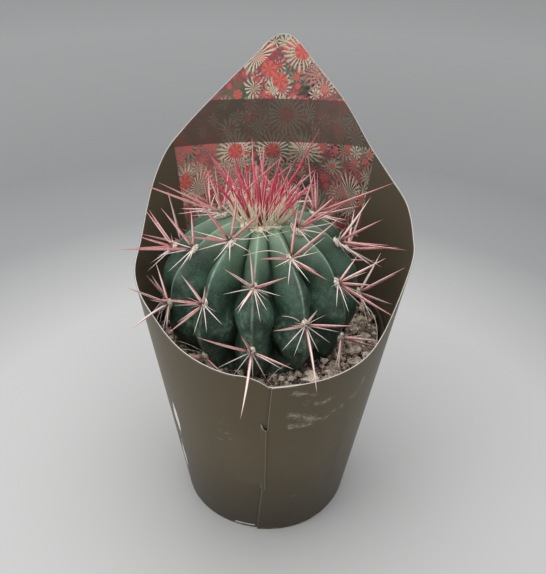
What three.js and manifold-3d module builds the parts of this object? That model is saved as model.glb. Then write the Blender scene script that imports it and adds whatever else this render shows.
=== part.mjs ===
// A round, ribbed cactus in a nursery pot, stood in a tall sleeve of laminated card.
// Millimetres, +Z up. The origin is the centre of the pot's base, on the surface it stands on.
// Azimuths are in degrees: 0 is the front, where the sleeve's seam is (-Y), and they grow to +X.
import * as THREE from 'three';
import { mergeVertices } from 'three/addons/utils/BufferGeometryUtils.js';
import Module from 'manifold-3d';

const wasm = await Module();
wasm.setup();

// Clearance kept between neighbouring pieces.
const GAP = 0.3;

// Sleeve: a cone of card, wound once round with an overlap at the front.
const SLEEVE_BASE_RADIUS = 46.5;
const SLEEVE_SLOPE = 0.151;
const CARD = 0.7;
const SLEEVE_FOOT = 0.4;
const OVERLAP_ANGLE = 14;
const FLAP_LIFT = CARD + 0.35;
const LIFT_FADE = [20, 60];
const SLEEVE_COLUMNS = 92;
// The cut top edge, as azimuth and height: low in front, shoulders at the sides, a tip behind.
const SLEEVE_EDGE = [
  [0, 120.5], [12, 121.5], [35, 122.5], [48, 124.5], [57.5, 131.5], [66, 147], [73, 158],
  [80, 162], [90, 163.5], [98, 167.5], [106, 172], [120, 177.5], [130, 184], [138, 191.5],
  [150, 207.5], [164, 225], [172, 236.5], [177.5, 240], [183, 235.5], [190, 226], [205, 209],
  [220, 195], [230, 186.5], [240, 174.5], [248, 163.5], [256, 154], [264, 149], [282, 146.5],
  [296, 144], [306, 141], [313, 136], [322, 131], [334, 127.5], [344, 126], [351, 126],
  [356, 124], [360, 120.5],
];

// Nursery pot: a thin moulded cone with a rolled rim and a base raised round its drain holes.
const POT_HEIGHT = 110;
const POT_WALL = 1.2;
const RIM_DEPTH = 8;
const RIM_STEP = 1.2;
const BASE_RISE = 2.2;
const BASE_DISC_RADIUS = 14;
const FOOT_RING = [37.5, 42.5];
const DRAIN_HOLES = 6;
const DRAIN_RADIUS = 4.5;
const DRAIN_CIRCLE = 25.5;
const POT_SEGMENTS = 40;

// Potting soil: its level at the pot's wall, and its mounds as azimuth, radius, height, spread.
const SOIL_LEVEL = 105.5;
const SOIL_SEGMENTS = 48;
const SOIL_RINGS = [55, 50, 45];
const SOIL_MOUNDS = [
  [86, 47, 4.5, 9], [-76, 47, 3.5, 8], [20, 42, 2.5, 6], [-22, 44, 1.5, 6], [150, 50, 2.5, 10],
  [205, 48, 2, 9],
];

// Stem: a ribbed ellipsoid with a sunken crown, on a root neck buried in the soil.
const STEM_CENTRE = new THREE.Vector3(-4.8, 1.5, 131);
const STEM_RADIUS = 50;
const STEM_HALF_HEIGHT = 46;
const RIBS = 13;
const RIB_TURN = -3.5;
const RIB_UNEVEN = 4;
const GROOVE_DEPTH = 0.26;
const GROOVE_SOFT = 0.1;
const CROWN_SINK = 5;
const CROWN_WIDTH = 14;
const STEM_POLARS = [0, 7, 13, 19, 27, 37, 48, 60, 73, 86, 98, 108, 116, 123, 129];
const RIB_STEPS = [0, 0.42, 0.74, 0.92, 1, 0.92, 0.74, 0.42];
// The buried neck below the ribs, as radius and height.
const ROOT_NECK = [[20, 90], [8, 64], [0, 62]];

// Areoles climb the ribs in a 5 and 13 spiral; rib 0 is in front. Those before number 1 are
// lost in the wool of the crown, and number 0 stands at its edge, in front.
const FIRST_AREOLE = 0;
const LAST_AREOLE = 31;
const SPIRAL_OFFSET = 5.41;
const POLAR_PER_TURN = 38.5;
const SPIRAL_STEP = 8;
const PAD_SIZE = [2.9, 3.5, 2.3];

// Spines, with directions as clock (0 points to the crown, 90 to +azimuth) and tilt off the
// surface's normal, in degrees.
const CENTRAL_RADIUS = 0.75;
const RADIAL_RADIUS = 0.38;
const CENTRAL_CLOCKS = [0, 76, 186, 288];
const CENTRAL_TILT = 52;
const CENTRAL_LENGTH = 27;
const RADIAL_CLOCKS = [104, 139, 166, 214, 250];
const RADIAL_TILT = 68;
const RADIAL_LENGTH = 16.5;
const SPINE_CLEARANCE = 0.4;
const SAMPLE_STEP = 1;
// The centrals that show in front follow the plant: areole, then clock, tilt and length of each,
// with a droop where one hangs over the edge of the card.
const FRONT_CENTRALS = {
  0: [[350, 20, 33], [15, 28, 27], [38, 42, 24]],
  2: [[180, 42, 34], [350, 64, 44], [265, 22, 24], [300, 45, 26]],
  3: [[8, 46, 34], [40, 26, 30], [118, 50, 25], [95, 62, 27]],
  5: [[290, 44, 32], [355, 54, 26], [22, 76, 22], [240, 66, 22]],
  6: [[208, 37, 43], [20, 38, 32], [80, 55, 27]],
  7: [[137, 40, 38], [30, 45, 27], [250, 55, 26]],
  8: [[18, 62, 26], [72, 58, 28], [145, 78, 20], [275, 68, 20]],
  10: [[290, 36, 26], [330, 58, 20], [205, 46, 35]],
  11: [[70, 24, 27], [125, 32, 26], [186, 44, 34], [160, 56, 28]],
  13: [[355, 58, 21], [299, 52, 19], [74, 56, 19], [208, 52, 17]],
  15: [[315, 24, 23], [285, 36, 23], [205, 24, 20], [100, 40, 24]],
  16: [[52, 58, 16], [80, 40, 26], [168, 50, 31], [130, 40, 18]],
  18: [[313, 75, 17], [266, 55, 24], [206, 60, 22], [30, 50, 20]],
  21: [[6, 46, 17], [96, 60, 23], [276, 78, 18], [192, 48, 32]],
  23: [[15, 36, 30], [65, 48, 49, 0.1], [322, 84, 22], [150, 76, 16]],
  24: [[30, 27, 31], [70, 34, 22], [30, 62, 23], [200, 20, 22]],
  26: [[350, 62, 20], [288, 82, 27], [186, 12, 41], [102, 76, 22]],
  29: [[90, 42, 22], [122, 40, 24], [215, 60, 18]],
  31: [[268, 68, 18], [238, 62, 17], [100, 76, 16]],
};

// Crown: a dome of wool with young spines standing in it, laid out in a sunflower spiral.
const WOOL_RADIUS = 13.5;
const WOOL_HEIGHT = 4.6;
const CROWN_SPINES = 34;
const CROWN_SPREAD = 1.75;
const GOLDEN_ANGLE = 137.508;
const CROWN_LEAN = [5, 3];
const CROWN_LENGTHS = [20, 36];
// The tallest ones, as azimuth and radius of the root, azimuth and angle of the lean, length.
const TALL_SPINES = [
  [135, 11, 100, 23, 45], [-150, 11, -112, 18, 36], [-140, 8, -140, 12, 34], [150, 10, 160, 14, 28],
];

const SEED = 20417;
const PARK_MILLER = 16807;
const PARK_MILLER_PRIME = 2147483647;

const rad = THREE.MathUtils.degToRad;
const { smoothstep } = THREE.MathUtils;

function makeDraw(seed) {
  let state = seed;
  return (low, high) => {
    state = (state * PARK_MILLER) % PARK_MILLER_PRIME;
    return low + (high - low) * state / PARK_MILLER_PRIME;
  };
}

function around(azimuth, radius, height) {
  const angle = rad(azimuth);
  return new THREE.Vector3(radius * Math.sin(angle), -radius * Math.cos(angle), height);
}

const azimuthOf = (x, y) => (THREE.MathUtils.radToDeg(Math.atan2(x, -y)) + 360) % 360;

// A smooth curve through points of [position, height], by cubic Hermite pieces.
function heightAlong(points, at) {
  const last = points.length - 1;
  let i = last - 1;
  while (i > 0 && points[i][0] > at) i -= 1;
  const slope = (k) => {
    const before = points[Math.max(k - 1, 0)];
    const after = points[Math.min(k + 1, last)];
    return (after[1] - before[1]) / (after[0] - before[0]);
  };
  const run = points[i + 1][0] - points[i][0];
  const t = (at - points[i][0]) / run;
  const s = 1 - t;
  return points[i][1] * s * s * (1 + 2 * t) + slope(i) * run * t * s * s
    + points[i + 1][1] * t * t * (1 + 2 * s) - slope(i + 1) * run * s * t * t;
}

// Turns a closed geometry into a solid, with its shared vertices joined and its faces outwards.
function solidFrom(geometry) {
  const bare = new THREE.BufferGeometry();
  bare.setAttribute('position', geometry.getAttribute('position'));
  bare.setIndex(geometry.getIndex());
  const merged = mergeVertices(bare, 1e-4);
  const points = merged.getAttribute('position');
  const index = merged.getIndex();
  const corners = [0, 1, 2].map(() => new THREE.Vector3());
  const triangles = [];
  let volume = 0;
  for (let i = 0; i < index.count; i += 3) {
    const triangle = [index.getX(i), index.getX(i + 1), index.getX(i + 2)];
    if (new Set(triangle).size < 3) continue;
    corners.forEach((corner, k) => corner.fromBufferAttribute(points, triangle[k]));
    volume += corners[0].dot(corners[1].clone().cross(corners[2]));
    triangles.push(triangle);
  }
  const outwards = volume > 0 ? triangles : triangles.map(([a, b, c]) => [a, c, b]);
  return new wasm.Manifold(new wasm.Mesh({
    numProp: 3,
    vertProperties: Float32Array.from(points.array),
    triVerts: Uint32Array.from(outwards.flat()),
  }));
}

function geometryFrom(solid) {
  const mesh = solid.getMesh();
  const geometry = new THREE.BufferGeometry();
  geometry.setAttribute('position', new THREE.BufferAttribute(mesh.vertProperties, 3));
  geometry.setIndex(new THREE.BufferAttribute(mesh.triVerts, 1));
  geometry.computeVertexNormals();
  return geometry;
}

// A cut can leave scraps; the piece itself is the largest body.
function largestBody(solid) {
  return solid.decompose().reduce((best, body) => (body.volume() > best.volume() ? body : best));
}

function reshape(geometry, place) {
  const points = geometry.getAttribute('position');
  const at = new THREE.Vector3();
  for (let i = 0; i < points.count; i += 1) {
    at.fromBufferAttribute(points, i);
    const moved = place(at, i);
    points.setXYZ(i, moved.x, moved.y, moved.z);
  }
  return geometry;
}

const plant = new THREE.Group();

function addPiece(name, solid, colour, roughness) {
  const material = new THREE.MeshStandardMaterial({ color: colour, roughness, metalness: 0 });
  const mesh = new THREE.Mesh(geometryFrom(solid), material);
  mesh.name = name;
  plant.add(mesh);
}

// Sleeve
const sleeveRadius = (height) => SLEEVE_BASE_RADIUS + SLEEVE_SLOPE * height;
const sleeveLift = (turn) => FLAP_LIFT * (1 - smoothstep(turn, LIFT_FADE[0], LIFT_FADE[1]));
const sleeveTop = (azimuth) => heightAlong(SLEEVE_EDGE, (azimuth + 360) % 360);

function makeSleeve() {
  const turn = 360 + OVERLAP_ANGLE;
  const sheet = new THREE.BoxGeometry(1, 1, 1, SLEEVE_COLUMNS, 1, 1);
  return solidFrom(reshape(sheet, (at) => {
    const azimuth = (at.x + 0.5) * turn;
    // The tongue under the front flap keeps the height of the flap that covers it.
    const top = azimuth > 360 ? sleeveTop(azimuth - 360) - CARD : sleeveTop(azimuth);
    const height = at.z < 0 ? SLEEVE_FOOT : top;
    const inwards = at.y < 0 ? CARD : 0;
    return around(azimuth, sleeveRadius(height) + sleeveLift(azimuth) - inwards, height);
  }));
}

// Nursery pot
const rimRadius = (height) => sleeveRadius(height) - CARD - GAP;
const potRadius = (height) => rimRadius(height) - RIM_STEP;
const FLOOR = POT_WALL;
const RAISED = BASE_RISE + POT_WALL;

function makePot() {
  const rimFoot = POT_HEIGHT - RIM_DEPTH;
  const [footIn, footOut] = FOOT_RING;
  const slant = 2;
  const profile = [
    [0, 0], [BASE_DISC_RADIUS, 0], [BASE_DISC_RADIUS + slant, BASE_RISE],
    [footIn - slant, BASE_RISE], [footIn, 0], [footOut, 0], [potRadius(slant), slant],
    [potRadius(rimFoot - 1), rimFoot - 1], [rimRadius(rimFoot), rimFoot],
    [rimRadius(POT_HEIGHT - 1), POT_HEIGHT - 1], [rimRadius(POT_HEIGHT) - 0.8, POT_HEIGHT],
    [rimRadius(POT_HEIGHT) - 2.2, POT_HEIGHT - 0.4],
    [potRadius(rimFoot) - POT_WALL, rimFoot - 1], [footOut - 0.4, FLOOR + 0.6],
    [footIn + 1, FLOOR], [footIn - slant, RAISED], [BASE_DISC_RADIUS + slant, RAISED],
    [BASE_DISC_RADIUS - 0.4, FLOOR], [0, FLOOR],
  ].map(([radius, height]) => new THREE.Vector2(radius, height));
  const shell = new THREE.LatheGeometry(profile, POT_SEGMENTS).rotateX(Math.PI / 2);
  let pot = solidFrom(shell);
  for (let i = 0; i < DRAIN_HOLES; i += 1) {
    const centre = around((i + 0.5) * 360 / DRAIN_HOLES, DRAIN_CIRCLE, BASE_RISE);
    const drill = new THREE.CylinderGeometry(DRAIN_RADIUS, DRAIN_RADIUS, 3 * RAISED, 12);
    drill.rotateX(Math.PI / 2).translate(centre.x, centre.y, centre.z);
    pot = pot.subtract(solidFrom(drill));
  }
  return pot;
}

// Stem. A place on it is a turn (27.7 degrees from crest to crest) and an angle from the top.
const RIB_PITCH = 360 / RIBS;
const turnToAzimuth = (turn) => turn + RIB_TURN + RIB_UNEVEN * Math.sin(rad(turn));

function azimuthToTurn(azimuth) {
  let turn = azimuth - RIB_TURN;
  for (let i = 0; i < 4; i += 1) turn = azimuth - RIB_TURN - RIB_UNEVEN * Math.sin(rad(turn));
  return turn;
}

// How much the surface is drawn in, from 1 on a crest to the bottom of a groove.
function ribFactor(turn, polar) {
  const step = (((turn / RIB_PITCH) % 1) + 1) % 1;
  const across = 2 * Math.min(step, 1 - step);
  const depth = GROOVE_DEPTH * smoothstep(polar, 6, 45) * (1 - smoothstep(polar, 119, 129));
  const plump = 1.2 + 0.7 * smoothstep(polar, 40, 95);
  const bend = (t) => (t * t + GROOVE_SOFT ** 2) ** (plump / 2);
  return 1 - depth * (bend(across) - bend(0)) / (bend(1) - bend(0));
}

const crownDip = (polar) => CROWN_SINK * Math.exp(-((polar / CROWN_WIDTH) ** 2));

function stemPoint(turn, polar, grow) {
  const factor = ribFactor(turn, polar) + grow / STEM_HALF_HEIGHT;
  const side = STEM_RADIUS * Math.sin(rad(polar)) * factor;
  const rise = STEM_HALF_HEIGHT * Math.cos(rad(polar)) * factor - crownDip(polar);
  return around(turnToAzimuth(turn), side, rise).add(STEM_CENTRE);
}

function makeStem(grow) {
  const rows = STEM_POLARS.length + ROOT_NECK.length;
  const blank = Array.from({ length: rows }, (_, i) => new THREE.Vector2(1, i));
  const columns = RIBS * RIB_STEPS.length;
  const skin = new THREE.LatheGeometry(blank, columns);
  return solidFrom(reshape(skin, (_, i) => {
    const column = Math.floor(i / rows) % columns;
    const row = i % rows;
    const step = column % RIB_STEPS.length;
    const across = RIB_STEPS[step] / 2;
    const beyond = step > RIB_STEPS.length / 2;
    const rib = Math.floor(column / RIB_STEPS.length);
    const turn = (rib + (beyond ? 1 - across : across)) * RIB_PITCH;
    if (row < STEM_POLARS.length) return stemPoint(turn, STEM_POLARS[row], grow);
    const [radius, height] = ROOT_NECK[row - STEM_POLARS.length];
    const centre = new THREE.Vector3(STEM_CENTRE.x, STEM_CENTRE.y, height - grow);
    return around(turnToAzimuth(turn), radius > 0 ? radius + grow : 0, 0).add(centre);
  }));
}

// Soil
function soilHeight(x, y) {
  const crumbs = 0.7 * Math.sin(x * 0.55 + 1) * Math.cos(y * 0.5);
  const swell = 0.5 * Math.sin(x * 0.31 - y * 0.43);
  let height = SOIL_LEVEL + crumbs + swell;
  for (const [azimuth, radius, rise, spread] of SOIL_MOUNDS) {
    const top = around(azimuth, radius, 0);
    const away = Math.hypot(x - top.x, y - top.y) / spread;
    height += rise * Math.exp(-away * away);
  }
  return height;
}

function makeSoil(stemSpace) {
  const wall = (height) => potRadius(height) - POT_WALL - GAP;
  const [footIn, footOut] = FOOT_RING;
  const slant = 2;
  const profile = [
    [0, FLOOR + GAP], [BASE_DISC_RADIUS - 1, FLOOR + GAP],
    [BASE_DISC_RADIUS + slant, RAISED + GAP], [footIn - slant, RAISED + GAP],
    [footIn + 1, FLOOR + 1], [footOut - 1.2, FLOOR + 1.2], [wall(SOIL_LEVEL - 6), SOIL_LEVEL - 6],
    [wall(SOIL_LEVEL - 2), SOIL_LEVEL - 1], ...SOIL_RINGS.map((radius) => [radius, SOIL_LEVEL]),
    [0, SOIL_LEVEL],
  ].map(([radius, height]) => new THREE.Vector2(radius, height));
  const fill = new THREE.LatheGeometry(profile, SOIL_SEGMENTS).rotateX(Math.PI / 2);
  reshape(fill, (at) => {
    if (at.z > SOIL_LEVEL - 0.5) at.z = soilHeight(at.x, at.y);
    return at;
  });
  return largestBody(solidFrom(fill).subtract(stemSpace));
}

// Spines
function spinePath(root, direction, bow, length, count) {
  const points = [];
  for (let i = 0; i <= count; i += 1) {
    const t = i / count;
    const point = root.clone().addScaledVector(direction, length * t);
    points.push(point.addScaledVector(bow, length * t * t));
  }
  return points;
}

// A spine keeps its thickness for most of its length, then runs out to a point.
const thicknessAt = (t) => 1 - 0.96 * t * t;

function spineSolid(spine) {
  const joints = spine.radius > RADIAL_RADIUS ? 2 : 1;
  const cone = new THREE.ConeGeometry(1, 1, 3, joints, false);
  const path = spinePath(spine.root, spine.direction, spine.bow, spine.length, joints);
  const turned = new THREE.Quaternion().setFromUnitVectors(
    new THREE.Vector3(0, 1, 0), spine.direction);
  return solidFrom(reshape(cone, (at) => {
    const t = at.y + 0.5;
    const wide = at.x === 0 && at.z === 0 ? 0 : 1;
    const ring = new THREE.Vector3(at.x, 0, at.z);
    if (wide) ring.setLength(spine.radius * thicknessAt(t)).applyQuaternion(turned);
    if (t > 0.999) ring.set(0, 0, 0);
    return path[Math.round(t * joints)].clone().add(ring);
  }));
}

// The space that a spine's point needs: outside the stem, inside or over the sleeve, and over
// the soil and the pot's rim.
function clearOfPot(point, room) {
  const x = point.x - STEM_CENTRE.x;
  const y = point.y - STEM_CENTRE.y;
  const side = Math.hypot(x, y) / STEM_RADIUS;
  const rise = point.z - STEM_CENTRE.z;
  const polarAt = (height) => THREE.MathUtils.radToDeg(Math.atan2(side, height / STEM_HALF_HEIGHT));
  const lifted = rise + crownDip(polarAt(rise));
  const polar = polarAt(lifted);
  const out = Math.hypot(side, lifted / STEM_HALF_HEIGHT);
  const skin = ribFactor(azimuthToTurn(azimuthOf(x, y)), polar);
  if (out < skin + room / STEM_HALF_HEIGHT) return false;
  const radius = Math.hypot(point.x, point.y);
  const azimuth = azimuthOf(point.x, point.y);
  const card = sleeveRadius(point.z);
  const beside = radius < card - CARD - room || radius > card + FLAP_LIFT + room;
  if (!beside && point.z < sleeveTop(azimuth) + room) return false;
  if (radius > card) return true;
  return point.z > soilHeight(point.x, point.y) + room && (radius < 55 || point.z > POT_HEIGHT + room);
}

const taken = [];

function clearOfSpines(point, room, owner) {
  return taken.every((other) => other.owner === owner
    || other.point.distanceTo(point) > other.radius + room);
}

// Tries a direction, then turns, lowers and shortens it until the whole spine is clear.
const TURNS = [0, 7, -7, 14, -14, 21, -21, 28, -28, 36, -36];
const TILTS = [0, -8, 8, -16, 14];
const SHARES = [1, 0.85, 0.7, 0.55];

function placeSpine(owner, frame, clock, tilt, length, radius, bow) {
  for (const share of SHARES) {
    for (const tilted of TILTS) {
      for (const turned of TURNS) {
        const off = rad(Math.min(tilt + tilted, 88));
        const hand = rad(clock + turned);
        const direction = frame.normal.clone().multiplyScalar(Math.cos(off))
          .addScaledVector(frame.up, Math.sin(off) * Math.cos(hand))
          .addScaledVector(frame.side, Math.sin(off) * Math.sin(hand));
        const count = Math.ceil(length * share / SAMPLE_STEP);
        const path = spinePath(frame.root, direction, bow, length * share, count);
        const samples = path.map((point, i) => (
          { point, radius: radius * thicknessAt(i / count), owner }));
        const free = samples.slice(4).every((sample) => (
          clearOfPot(sample.point, sample.radius + SPINE_CLEARANCE)
          && clearOfSpines(sample.point, sample.radius + SPINE_CLEARANCE, owner)));
        if (free) {
          taken.push(...samples);
          return { root: frame.root, direction, bow, length: length * share, radius };
        }
      }
    }
  }
  return null;
}

function areoleFrame(number) {
  const rib = (((-SPIRAL_STEP * number) % RIBS) + RIBS) % RIBS;
  const turn = rib * RIB_PITCH;
  const polar = (number + SPIRAL_OFFSET) / RIBS * POLAR_PER_TURN;
  const azimuth = turnToAzimuth(turn);
  const crest = stemPoint(turn, polar, 0);
  const side = around(azimuth + 90, 1, 0);
  const flat = Math.sin(rad(polar)) / STEM_RADIUS;
  const tall = Math.cos(rad(polar)) / STEM_HALF_HEIGHT;
  const normal = around(azimuth, flat, tall).normalize();
  const up = normal.clone().cross(side).multiplyScalar(-1);
  if (up.dot(around(azimuth, -Math.cos(rad(polar)), Math.sin(rad(polar)))) < 0) up.negate();
  return { crest, normal, side, up, root: crest.clone().addScaledVector(normal, 1) };
}

function padSolid(frame) {
  const pad = new THREE.SphereGeometry(1, 6, 4).scale(...PAD_SIZE);
  const basis = new THREE.Matrix4().makeBasis(frame.side, frame.up, frame.normal);
  basis.setPosition(frame.crest.clone().addScaledVector(frame.normal, 0.4));
  return solidFrom(pad.applyMatrix4(basis));
}

function planAreole(number, draw) {
  const frame = areoleFrame(number);
  const bowOf = (size) => new THREE.Vector3(
    draw(-size, size), draw(-size, size), draw(-size, size));
  const own = FRONT_CENTRALS[number];
  const centrals = own ?? CENTRAL_CLOCKS.map((clock) => (
    [clock + draw(-9, 9), CENTRAL_TILT + draw(-8, 8), CENTRAL_LENGTH + draw(-4, 4)]));
  const spines = centrals.map(([clock, tilt, length, droop = 0]) => {
    const bow = bowOf(0.05);
    bow.z -= droop;
    return placeSpine(number, frame, clock, tilt, length, CENTRAL_RADIUS, bow);
  });
  return { number, frame, spines, bowOf };
}

function addRadials(areole, draw) {
  for (const clock of RADIAL_CLOCKS) {
    const turned = clock + draw(-7, 7);
    const tilt = RADIAL_TILT + draw(-6, 6);
    const length = RADIAL_LENGTH + draw(-2.5, 2.5);
    areole.spines.push(placeSpine(
      areole.number, areole.frame, turned, tilt, length, RADIAL_RADIUS, areole.bowOf(0.04)));
  }
}

function planCrown(draw) {
  const spines = [];
  const owner = 'crown';
  const stand = (azimuth, radius, leanAzimuth, lean, length) => {
    const top = STEM_CENTRE.z + STEM_HALF_HEIGHT - CROWN_SINK + 1;
    const root = around(azimuth, radius, top).add(
      new THREE.Vector3(STEM_CENTRE.x, STEM_CENTRE.y, 0));
    const frame = {
      root,
      normal: new THREE.Vector3(0, 0, 1),
      up: around(leanAzimuth, 1, 0),
      side: around(leanAzimuth + 90, 1, 0),
    };
    const bow = around(leanAzimuth + draw(-60, 60), 0.05, 0);
    spines.push(placeSpine(owner, frame, 0, lean, length, CENTRAL_RADIUS, bow));
  };
  for (const tall of TALL_SPINES) stand(...tall);
  for (let i = 0; i < CROWN_SPINES; i += 1) {
    const azimuth = i * GOLDEN_ANGLE;
    const radius = CROWN_SPREAD * Math.sqrt(i + 0.5);
    const lean = CROWN_LEAN[0] + CROWN_LEAN[1] * radius + draw(-6, 6);
    stand(azimuth, radius, azimuth + draw(-40, 40), lean, draw(...CROWN_LENGTHS));
  }
  return spines;
}

function fuseSpray(body, spines) {
  const fused = spines.filter(Boolean).reduce((spray, spine) => spray.add(spineSolid(spine)), body);
  return largestBody(fused.subtract(stemSpace));
}

const draw = makeDraw(SEED);
const stem = makeStem(0);
const stemSpace = makeStem(GAP);

addPiece('plant_sleeve', makeSleeve(), 0x5f594b, 0.45);
addPiece('nursery_pot', makePot(), 0x2c221c, 0.6);
addPiece('potting_soil', makeSoil(stemSpace), 0x6b5a4c, 0.95);
addPiece('cactus_stem', stem, 0x3f6b52, 0.55);

const areoles = [];
for (let number = FIRST_AREOLE; number <= LAST_AREOLE; number += 1) {
  areoles.push(planAreole(number, draw));
}
const crownSpines = planCrown(draw);
for (const areole of areoles) addRadials(areole, draw);

const wool = new THREE.SphereGeometry(1, 16, 6).rotateX(Math.PI / 2);
wool.scale(WOOL_RADIUS, WOOL_RADIUS, WOOL_HEIGHT);
wool.translate(STEM_CENTRE.x, STEM_CENTRE.y, STEM_CENTRE.z + STEM_HALF_HEIGHT - CROWN_SINK + 0.6);
const crown = solidFrom(wool).add(padSolid(areoles[0].frame));
const crownSpray = [...crownSpines, ...areoles[0].spines];
addPiece('crown_tuft', fuseSpray(crown, crownSpray), 0xc0405a, 0.5);

for (const { number, frame, spines } of areoles.slice(1)) {
  const name = `areole_${String(number).padStart(2, '0')}`;
  addPiece(name, fuseSpray(padSolid(frame), spines), 0xd8a09c, 0.5);
}

export default plant;
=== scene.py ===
import itertools
import math
import random

import bmesh
import bpy
from mathutils import Matrix, Vector, noise


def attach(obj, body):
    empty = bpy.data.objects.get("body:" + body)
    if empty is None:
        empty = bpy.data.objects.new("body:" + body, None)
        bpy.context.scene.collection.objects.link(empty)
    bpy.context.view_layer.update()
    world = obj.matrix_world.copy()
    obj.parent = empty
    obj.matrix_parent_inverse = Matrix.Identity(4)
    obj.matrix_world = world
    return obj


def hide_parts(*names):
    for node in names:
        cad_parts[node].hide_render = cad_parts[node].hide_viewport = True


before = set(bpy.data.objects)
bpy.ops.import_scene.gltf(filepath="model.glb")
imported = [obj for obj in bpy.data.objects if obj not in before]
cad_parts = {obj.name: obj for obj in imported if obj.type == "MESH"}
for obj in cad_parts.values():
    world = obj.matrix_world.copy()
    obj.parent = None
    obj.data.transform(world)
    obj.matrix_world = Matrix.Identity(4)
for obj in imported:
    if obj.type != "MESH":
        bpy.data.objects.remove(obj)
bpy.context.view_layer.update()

# Camera
# The plant is seen from in front and well above, from about 40 cm, with the camera held a little
# askew. Lengths in this file are millimetres, and a finished piece is scaled to metres.
MM = 0.001
CAMERA_AIM = (1.54, 0, 132.53)
CAMERA_DISTANCE = 401.5
CAMERA_PITCH = 33.79
CAMERA_ROLL = 1.42
FOCAL_LENGTH = 48.49


def put(name, data):
    """An object of that data, in the scene."""
    made = bpy.data.objects.new(name, data)
    bpy.context.scene.collection.objects.link(made)
    return made


camera = put("camera", bpy.data.cameras.new("camera"))
bpy.context.scene.camera = camera
camera.data.lens = FOCAL_LENGTH
camera.data.clip_start = 0.01
camera.matrix_world = (
    Matrix.Translation(Vector(CAMERA_AIM) * MM)
    @ Matrix.Rotation(math.radians(90 - CAMERA_PITCH), 4, "X")
    @ Matrix.Translation((0, 0, CAMERA_DISTANCE * MM))
    @ Matrix.Rotation(math.radians(CAMERA_ROLL), 4, "Z")
)

# Studio
# A floor with painted light in its colour: pale round the plant like a pool of light, dimmer in a
# broad ring beyond it and paler again farther off; a broad soft light overhead, and a weaker one
# from the left in front.
FLOOR_RADIUS = 6000
# Distance from the plant in metres, and the floor's colour there, which paints the light's falloff.
FLOOR_PAINTED_LIGHT = [
    (0.20, (0.50, 0.497, 0.493)), (0.33, (0.295, 0.298, 0.300)), (0.46, (0.250, 0.255, 0.256)),
    (0.95, (0.410, 0.411, 0.411)),
]
WORLD_LIGHT = (0.78, 0.79, 0.80)
WORLD_STRENGTH = 0.72
LIT_PLACE = (0, 0, 120)
# Name, place, side of the square, power in watts.
LIGHTS = [
    ("light_above", (-60, 20, 1000), 950, 8.0),
    ("light_left", (-720, -420, 560), 500, 1.6),
]


class Tint:
    """A value in a material's nodes. Sums written on it add Math nodes, and node() adds others."""

    def __init__(self, tree, socket=None):
        self.tree = tree
        self.socket = socket

    def plug(self, made, inputs):
        for name, value in inputs.items():
            if isinstance(value, Tint):
                self.tree.links.new(value.socket, made.inputs[name])
            else:
                made.inputs[name].default_value = value

    def node(self, kind, inputs, output=0, **settings):
        made = self.tree.nodes.new("ShaderNode" + kind)
        for name, setting in settings.items():
            setattr(made, name, setting)
        self.plug(made, inputs)
        return Tint(self.tree, made.outputs[output])

    def other(self, output):
        """Another output of the node that this value comes from."""
        return Tint(self.tree, self.socket.node.outputs[output])

    def maths(self, operation, *others):
        return self.node("Math", dict(enumerate((self, *others))), operation=operation)

    def vector(self, operation, *others, output=0):
        inputs = dict(enumerate((self, *others)))
        return self.node("VectorMath", inputs, output, operation=operation)

    def split(self):
        """The three parts of this vector."""
        first = self.node("SeparateXYZ", {0: self})
        return first, first.other(1), first.other(2)

    def paired(self, other):
        """The vector of this value and another."""
        return self.node("CombineXYZ", {0: self, 1: other})

    def stored(self, name):
        """A value that the mesh's vertices carry."""
        return self.node("Attribute", {}, "Fac", attribute_name=name)

    def __add__(self, other):
        return self.maths("ADD", other)

    def __sub__(self, other):
        return self.maths("SUBTRACT", other)

    def __rsub__(self, other):
        return -self + other

    def __mul__(self, other):
        return self.maths("MULTIPLY", other)

    def __truediv__(self, other):
        return self.maths("DIVIDE", other)

    def __neg__(self):
        return self * -1

    def __abs__(self):
        return self.maths("ABSOLUTE")

    __radd__ = __add__
    __rmul__ = __mul__

    def rise(self, low, high):
        """0 below low and 1 above high, with a smooth step between. High may be the lower one."""
        inputs = {"Value": self, "From Min": low, "From Max": high}
        return self.node("MapRange", inputs, interpolation_type="SMOOTHSTEP")

    def box(self, low, high, soft):
        """1 between low and high, with soft sides."""
        return self.rise(low - soft, low + soft) * self.rise(high + soft, high - soft)

    def mix(self, low, high):
        """A colour that goes from low, where this value is 0, to high, where it is 1."""
        low, high = (c if isinstance(c, Tint) else (*c, 1) for c in (low, high))
        return self.node("Mix", {0: self, 6: low, 7: high}, 2, data_type="RGBA")

    def ramp(self, *stops):
        """A colour by this value, from stops of (value, colour)."""
        colour = self.node("ValToRGB", {0: self})
        elements = colour.socket.node.color_ramp.elements
        elements[0].position, elements[1].position = stops[0][0], stops[-1][0]
        for position, _ in stops[1:-1]:
            elements.new(position)
        for element, (_, shade) in zip(elements, stops):
            element.color = (*shade, 1)
        return colour

    def grain(self, size, detail=2.0, rough=0.5):
        """Noise on this vector, which is in metres, with blobs of that size in millimetres."""
        inputs = {"Vector": self, "Scale": 1 / (size * MM), "Detail": detail, "Roughness": rough}
        return self.node("TexNoise", inputs)

    def surface(self, colour, roughness, relief=None, depth=0, others=None):
        """Gives the material its looks, with a relief that is depth millimetres deep at 1."""
        looks = {"Base Color": colour, "Roughness": roughness, **(others or {})}
        if relief:
            inputs = {"Height": relief, "Distance": depth * MM, "Strength": 1}
            looks["Normal"] = self.node("Bump", inputs)
        self.plug(self.tree.nodes["Principled BSDF"], looks)


def new_finish(name):
    """A material, and its Object coordinates as a Tint."""
    material = bpy.data.materials.new(name)
    material.use_nodes = True
    return material, Tint(material.node_tree).node("TexCoord", {}, "Object")


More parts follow.
